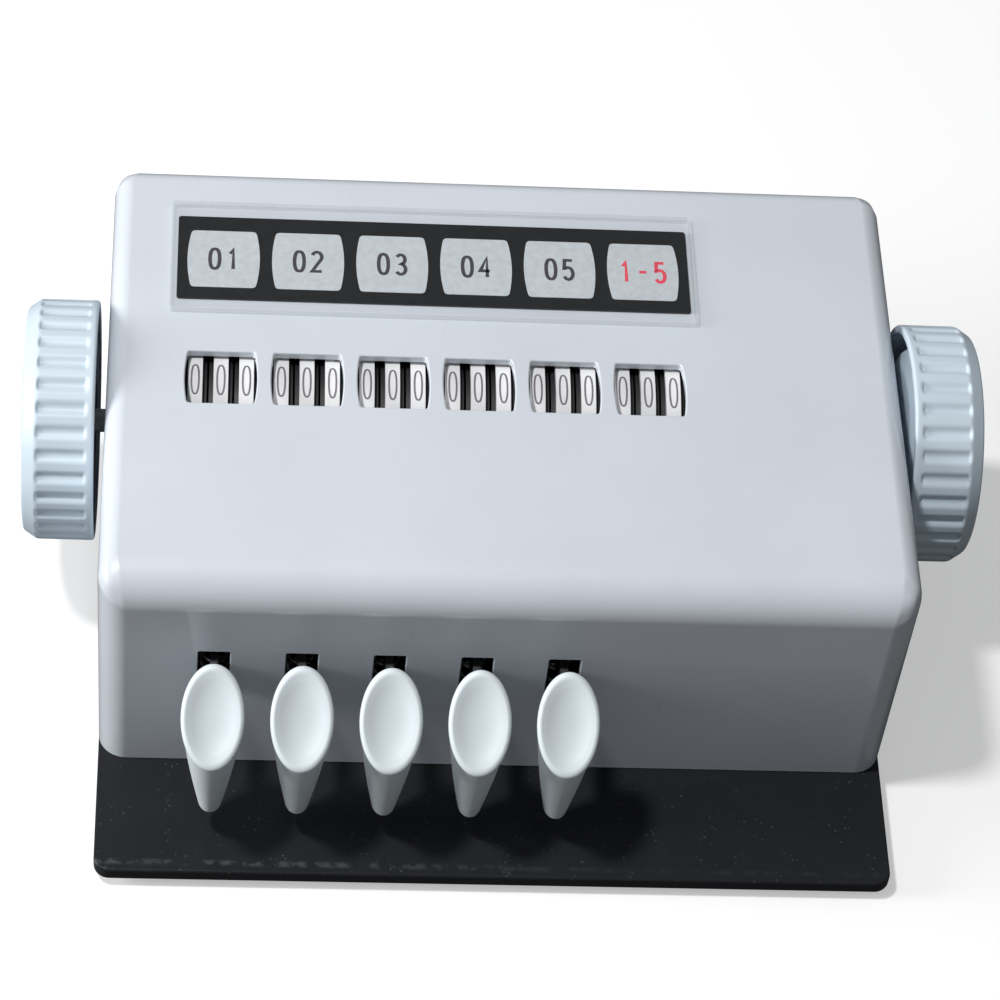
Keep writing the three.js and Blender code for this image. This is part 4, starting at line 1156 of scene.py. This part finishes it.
class TALLY_OT_wheels(Operator):
    """Builds the eighteen number wheels with their figures, and the units wheels' ratchets"""

    bl_idname = "tally.wheels"
    bl_label = "Number wheels"

    def execute(self, context):
        sizes = context.scene.tally_wheel
        low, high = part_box("counter_1_tens")
        half = (high.x - low.x) / 2
        axis = middle("counter_1_tens")
        for bank in BANKS:
            tens = middle(bank + "_tens").x
            pitch = tens - middle(bank + "_hundreds").x
            for order, digit in enumerate(WHEELS):
                node = f"{bank}_{digit}"
                centre = Vector((tens + (order - 1) * pitch, axis.y, axis.z))
                self.wheel(sizes, node, centre, half, (high.z - low.z) / 2, digit == "units")
        return {"FINISHED"}

    def wheel(self, sizes, node, centre, half, radius, with_ratchet):
        """A white band between dark shoulders, with the figures 0 to 9 round it."""
        band = sizes.band / 2
        web = sizes.web / 2
        shoulder = radius - sizes.shoulder_drop
        rim = shoulder - sizes.rim
        side = [(SHAFT_BORE, half), (sizes.hub, half), (sizes.hub, web), (rim, web)]
        side += [(rim, half), (shoulder, half), (shoulder, band), (radius, band)]
        section = [(r, -t) for r, t in side] + [(r, t) for r, t in reversed(side)]
        bm = bmesh.new()
        for face in turn(bm, eased(section, 0.12 * MM, 2), centre, 60, "X"):
            away = face.calc_center_median() - centre
            outside = math.hypot(away.y, away.z) > shoulder + 0.2 * MM
            face.material_index = 0 if outside else 1
        if with_ratchet:
            self.ratchet(bm, sizes, centre, half)
        for number in range(10):
            turned = sizes.view_angle - math.radians(36 * number)

            def place(u, v, level, turned=turned):
                lean = turned - v / radius
                out = radius + level
                return centre + Vector((u, -out * math.sin(lean), out * math.cos(lean)))

            figure(bm, str(number), sizes, place, 2)
        made = object_of(node + "_wheel", mesh_of(node + "_wheel", bm))
        coats = [finish_named(name) for name in ("wheel_white", "wheel_black", "wheel_ink")]
        finish(made, "wheel_" + node, coats, [node])

    def ratchet(self, bm, sizes, centre, half):
        """Ten saw teeth on the wheel's right side."""
        teeth = 10
        tip, root = sizes.ratchet_tip, sizes.ratchet_root
        outer = []
        inner = []
        for tooth in range(teeth):
            for share in (0, 0.001, 0.25, 0.5, 0.75):
                turned = 2 * math.pi * (tooth + share) / teeth
                way = Vector((0.0, math.cos(turned), math.sin(turned)))
                outer.append(way * (root if share == 0 else tip - (tip - root) * share))
                inner.append(way * SHAFT_BORE)
        near = centre + Vector((half - 0.2 * MM, 0.0, 0.0))
        far = centre + Vector((half + sizes.ratchet_width, 0.0, 0.0))
        rings = []
        for side, outline in ((near, inner), (near, outer), (far, outer), (far, inner)):
            rings.append([side + place for place in outline])
        for face in loft(bm, rings, closed=True):
            face.material_index = 1


class TALLY_OT_knobs(Operator):
    """Builds the two fluted reset knobs and the bushes that they turn in"""

    bl_idname = "tally.knobs"
    bl_label = "Reset knobs"

    def execute(self, context):
        sizes = context.scene.tally_knob
        tree = flute_tree()
        for side in SIDES:
            self.knob(sizes, tree, side)
            self.bush(side)
        return {"FINISHED"}

    def knob(self, sizes, tree, side):
        node = "reset_knob_" + side
        sign = -1 if side == "left" else 1
        low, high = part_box(node)
        radius = (high.z - low.z) / 2
        length = high.x - low.x
        inner = min(abs(low.x), abs(high.x))
        axis = middle(node)
        slope = length - sizes.outer_rim
        outline = [(r * MM, depth * MM) for r, depth in KNOB_BACK]
        outline += [(radius - 0.4 * MM, 0.0), (radius, 0.5 * MM)]
        rows = 9
        for row in range(rows + 1):
            outline.append((radius, sizes.inner_rim + (slope - sizes.inner_rim) * row / rows))
        rim = radius - sizes.rim_drop
        boss = length - 0.5 * MM
        face = length - 1.1 * MM
        outline += [
            (rim, length),
            (rim - 2.0 * MM, length),
            (rim - 3.4 * MM, face),
            (9.2 * MM, face),
            (8.4 * MM, boss),
            (0, boss),
        ]
        bm = bmesh.new()
        section = eased(outline, 0.7 * MM, 3, closed=False)
        turn(bm, section, (sign * inner, axis.y, axis.z), sizes.flutes * 10, "X", sign)
        knob = object_of(node + "_moulding", mesh_of(node + "_moulding", bm))
        plastic = finish_named("knob_moulding")
        run_tree(
            knob,
            tree,
            flutes=sizes.flutes,
            depth=sizes.flute_depth,
            rim_radius=radius,
            axis=(0.0, axis.y, axis.z),
            material=plastic,
            **{"from": inner + sizes.inner_rim, "to": inner + slope},
        )
        finish(knob, "reset_" + side, [plastic], [node], 50.0)

    def bush(self, side):
        """A flanged brass bush in the housing's wall."""
        node = "shaft_bush_" + side
        low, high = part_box(node)
        outside = low.x if side == "left" else high.x
        sign = 1 if side == "left" else -1
        axis = middle(node)
        radius = (high.z - low.z) / 2
        length = high.x - low.x
        collar = 5.0 * MM
        step = length - 1.5 * MM
        section = [(SHAFT_BORE, 0), (collar, 0), (collar, step), (radius, step)]
        section += [(radius, length), (SHAFT_BORE, length)]
        bm = bmesh.new()
        turn(bm, eased(section, 0.3 * MM, 2), (outside, axis.y, axis.z), 48, "X", sign)
        made = object_of(node + "_brass", mesh_of(node + "_brass", bm))
        finish(made, "chassis", [finish_named("turned_brass")], [node])


class TALLY_OT_keys(Operator):
    """Builds the five dished key pads on their tapering stems"""

    bl_idname = "tally.keys"
    bl_label = "Keys"

    def execute(self, context):
        sizes = context.scene.tally_key
        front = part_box("housing")[0].y
        plate_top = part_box("base_plate")[1].z
        for key in range(1, KEYS + 1):
            node = f"key_cap_{key}"
            x = middle(node).x
            bm = bmesh.new()
            loft(bm, self.rings(sizes, Vector((x, front, plate_top))))
            cap = object_of(node + "_pad", mesh_of(node + "_pad", bm))
            finish(cap, f"key_{key}", [finish_named("key_moulding")], [node], 70.0)
        return {"FINISHED"}

    def rings(self, sizes, origin):
        """Oval rings from the middle of the dish, over the rim and down the stem."""
        half_width = sizes.width / 2
        half_length = sizes.length / 2
        sides = 56
        rings = []

        def add_ring(across, along, y, z, tilt):
            ring = []
            for step in range(sides):
                turned = 2 * math.pi * step / sides
                u = along * math.sin(turned)
                down = Vector((0.0, -math.cos(tilt), -math.sin(tilt))) * u
                ring.append(origin + Vector((across * math.cos(turned), y, z)) + down)
            rings.append(ring)

        def add_pad(share, lift):
            y = -sizes.front_gap - lift * math.sin(sizes.tilt)
            z = sizes.height + lift * math.cos(sizes.tilt)
            add_ring(share * half_width, share * half_length, y, z, sizes.tilt)

        dish_steps = 12
        for step in range(1, dish_steps):
            part = step / dish_steps
            add_pad(DISH_SHARE * part, -sizes.dish * (1 - part**2.4))
        for share, lift in PAD_RIM:
            add_pad(share, lift * MM)
        # The stem: from under the pad to its foot.
        top_width = 0.94 * half_width
        top_length = 0.94 * half_length
        foot_width = sizes.tip_radius
        foot_length = 1.4 * sizes.tip_radius
        foot_round = 2.2 * MM
        foot_y = -sizes.tip_setback
        foot_z = sizes.tip_height + foot_round
        top_y = -sizes.front_gap + 2.9 * MM * math.sin(sizes.tilt)
        top_z = sizes.height - 2.9 * MM * math.cos(sizes.tilt)
        stem_steps = 16
        for step in range(1, stem_steps + 1):
            share = step / stem_steps
            add_ring(
                top_width + (foot_width - top_width) * share**1.35,
                top_length + (foot_length - top_length) * share**0.8,
                top_y + (foot_y - top_y) * share,
                top_z + (foot_z - top_z) * share,
                sizes.tilt * (1 - share),
            )
        for step in range(1, 7):
            turned = math.radians(14 * step)
            shrink = math.cos(turned)
            z = foot_z - foot_round * math.sin(turned)
            add_ring(foot_width * shrink, foot_length * shrink, foot_y, z, 0.0)
        return rings


class TALLY_OT_springs(Operator):
    """Winds the five return springs under the key levers"""

    bl_idname = "tally.springs"
    bl_label = "Key springs"

    def execute(self, context):
        sizes = context.scene.tally_spring
        tree = coil_tree()
        joints = {joint["name"]: joint for joint in frame["record"]["behaviour"]["joints"]}
        for key in range(1, KEYS + 1):
            self.spring(sizes, tree, f"key_spring_{key}", joints[f"key_{key}_press"])
        return {"FINISHED"}

    def spring(self, sizes, tree, node, joint):
        """A wound spring that fills its node's box, under the lever above it."""
        low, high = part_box(node)
        centre = (low + high) / 2
        wire = sizes.wire / 2
        outside = (high.x - low.x) / 2
        length = high.z - low.z
        coil = object_of(node + "_coil", bpy.data.meshes.new(node + "_coil"))
        coat = finish_named("spring_wire")
        run_tree(
            coil,
            tree,
            turns=sizes.turns,
            radius=outside - wire,
            height=length - sizes.wire,
            wire=wire,
            foot=(centre.x, centre.y, low.z + wire),
            material=coat,
        )
        wound = bmesh.new()
        wound.from_mesh(coil.data)
        coil.data = mesh_of(coil.name, wound)
        finish(coil, "chassis", [coat], [node])
        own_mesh(coil)


class TALLY_OT_stage(Operator):
    """Sets the pale floor, the soft light and the camera"""

    bl_idname = "tally.stage"
    bl_label = "Stage"

    def execute(self, context):
        sizes = context.scene.tally_stage
        self.floor(sizes)
        self.light(context, sizes)
        self.camera(context, sizes)
        return {"FINISHED"}

    def floor(self, sizes):
        """A white floor for the camera, and a darker one just below it that lights the object."""
        half = 4.0
        bm = bmesh.new()
        bmesh.ops.create_grid(bm, x_segments=1, y_segments=1, size=half)
        floor = object_of("pale_floor", mesh_of("pale_floor", bm))
        white = Recipe("floor_white", Roughness=0.9, Specular_IOR_Level=0.1)
        white.uneven(sizes.floor, white.noise(3.0), 0.99, 1.01)
        white.shader.inputs["Emission Color"].default_value = (1.0, 1.0, 1.0, 1.0)
        white.shader.inputs["Emission Strength"].default_value = sizes.floor_glow
        floor.data.materials.append(white.material)
        floor.visible_diffuse = False
        floor.visible_glossy = False
        floor.visible_shadow = False
        bounce = object_of("grey_bounce", floor.data.copy())
        bounce.data.transform(Matrix.Translation((0.0, 0.0, -MM)))
        grey = Recipe("bounce_grey", Roughness=0.9, Specular_IOR_Level=0.1)
        grey.uneven(sizes.bounce, grey.noise(3.0), 0.92, 1.08)
        bounce.data.materials[0] = grey.material
        bounce.visible_camera = False
        bounce.visible_shadow = False

    def light(self, context, sizes):
        """A small bright light high on the left, a wide one low on the left, and an even sky."""
        self.lamp(context, "main_light", sizes.key_power, 0.16, (-0.34, -0.07, 0.93), 1.5)
        self.lamp(context, "low_light", sizes.fill_power, 0.45, (-0.95, -0.07, 0.30), 1.2)
        world = bpy.data.worlds.new("even_sky")
        context.scene.world = world
        world.use_nodes = True
        sky = world.node_tree.nodes["Background"]
        sky.inputs["Color"].default_value = (0.95, 0.98, 1.0, 1.0)
        sky.inputs["Strength"].default_value = sizes.sky
        context.scene.view_settings.view_transform = "Standard"

    def lamp(self, context, name, power, across, towards, away):
        """A round lamp that looks at the object from the direction towards."""
        lamp = bpy.data.lights.new(name, "AREA")
        lamp.shape = "DISK"
        lamp.size = across
        lamp.energy = power
        holder = bpy.data.objects.new(name, lamp)
        context.scene.collection.objects.link(holder)
        towards = Vector(towards).normalized()
        holder.location = Vector((0.0, -0.02, 0.05)) + towards * away
        holder.rotation_mode = "QUATERNION"
        holder.rotation_quaternion = towards.to_track_quat("Z", "Y")

    def camera(self, context, sizes):
        """A camera that stands in front, looks down and leans a little to its right."""
        lens = bpy.data.cameras.new("view")
        lens.lens = sizes.lens
        lens.sensor_width = 36.0
        lens.clip_end = 10.0
        view = bpy.data.objects.new("view", lens)
        context.scene.collection.objects.link(view)
        onward = Vector((math.sin(sizes.yaw), math.cos(sizes.yaw), 0.0))
        ahead = onward * math.cos(sizes.pitch) - Vector((0.0, 0.0, math.sin(sizes.pitch)))
        level = Vector((math.cos(sizes.yaw), -math.sin(sizes.yaw), 0.0))
        above = level.cross(ahead)
        right = level * math.cos(sizes.roll) + above * math.sin(sizes.roll)
        up = above * math.cos(sizes.roll) - level * math.sin(sizes.roll)
        turned = Matrix((right, up, -ahead)).transposed()
        view.matrix_world = Matrix.Translation(sizes.camera_place) @ turned.to_4x4()
        context.scene.camera = view


class TALLY_PT_sidebar(Panel):
    """Lists the sizes and colours, and the operators that use them"""

    bl_idname = "TALLY_PT_sidebar"
    bl_label = "Desk Tally Counter"
    bl_space_type = "VIEW_3D"
    bl_region_type = "UI"
    bl_category = "Tally"

    def draw(self, context):
        for name, group in GROUPS.items():
            box = self.layout.box()
            box.label(text=name.removeprefix("tally_").title())
            for key in group.__annotations__:
                box.prop(getattr(context.scene, name), key)
        for operator in OPERATORS:
            self.layout.operator(operator.bl_idname)


GROUPS = {
    "tally_housing": TALLY_PG_housing,
    "tally_plate": TALLY_PG_plate,
    "tally_label": TALLY_PG_label,
    "tally_wheel": TALLY_PG_wheel,
    "tally_knob": TALLY_PG_knob,
    "tally_key": TALLY_PG_key,
    "tally_spring": TALLY_PG_spring,
    "tally_stage": TALLY_PG_stage,
}
OPERATORS = (
    TALLY_OT_finishes,
    TALLY_OT_housing,
    TALLY_OT_base_plate,
    TALLY_OT_feet,
    TALLY_OT_label,
    TALLY_OT_wheels,
    TALLY_OT_knobs,
    TALLY_OT_keys,
    TALLY_OT_springs,
    TALLY_OT_stage,
)


def register():
    for group in GROUPS.values():
        bpy.utils.register_class(group)
    for name, group in GROUPS.items():
        setattr(bpy.types.Scene, name, PointerProperty(type=group))
    for operator in OPERATORS:
        bpy.utils.register_class(operator)
    bpy.utils.register_class(TALLY_PT_sidebar)


def unregister():
    bpy.utils.unregister_class(TALLY_PT_sidebar)
    for operator in reversed(OPERATORS):
        bpy.utils.unregister_class(operator)
    for name, group in reversed(GROUPS.items()):
        delattr(bpy.types.Scene, name)
        bpy.utils.unregister_class(group)


def main():
    register()
    bpy.ops.tally.finishes()
    bpy.ops.tally.housing()
    bpy.ops.tally.base_plate()
    bpy.ops.tally.feet()
    bpy.ops.tally.label()
    bpy.ops.tally.wheels()
    bpy.ops.tally.knobs()
    bpy.ops.tally.keys()
    bpy.ops.tally.springs()
    bpy.ops.tally.stage()


if __name__ == "__main__":
    main()
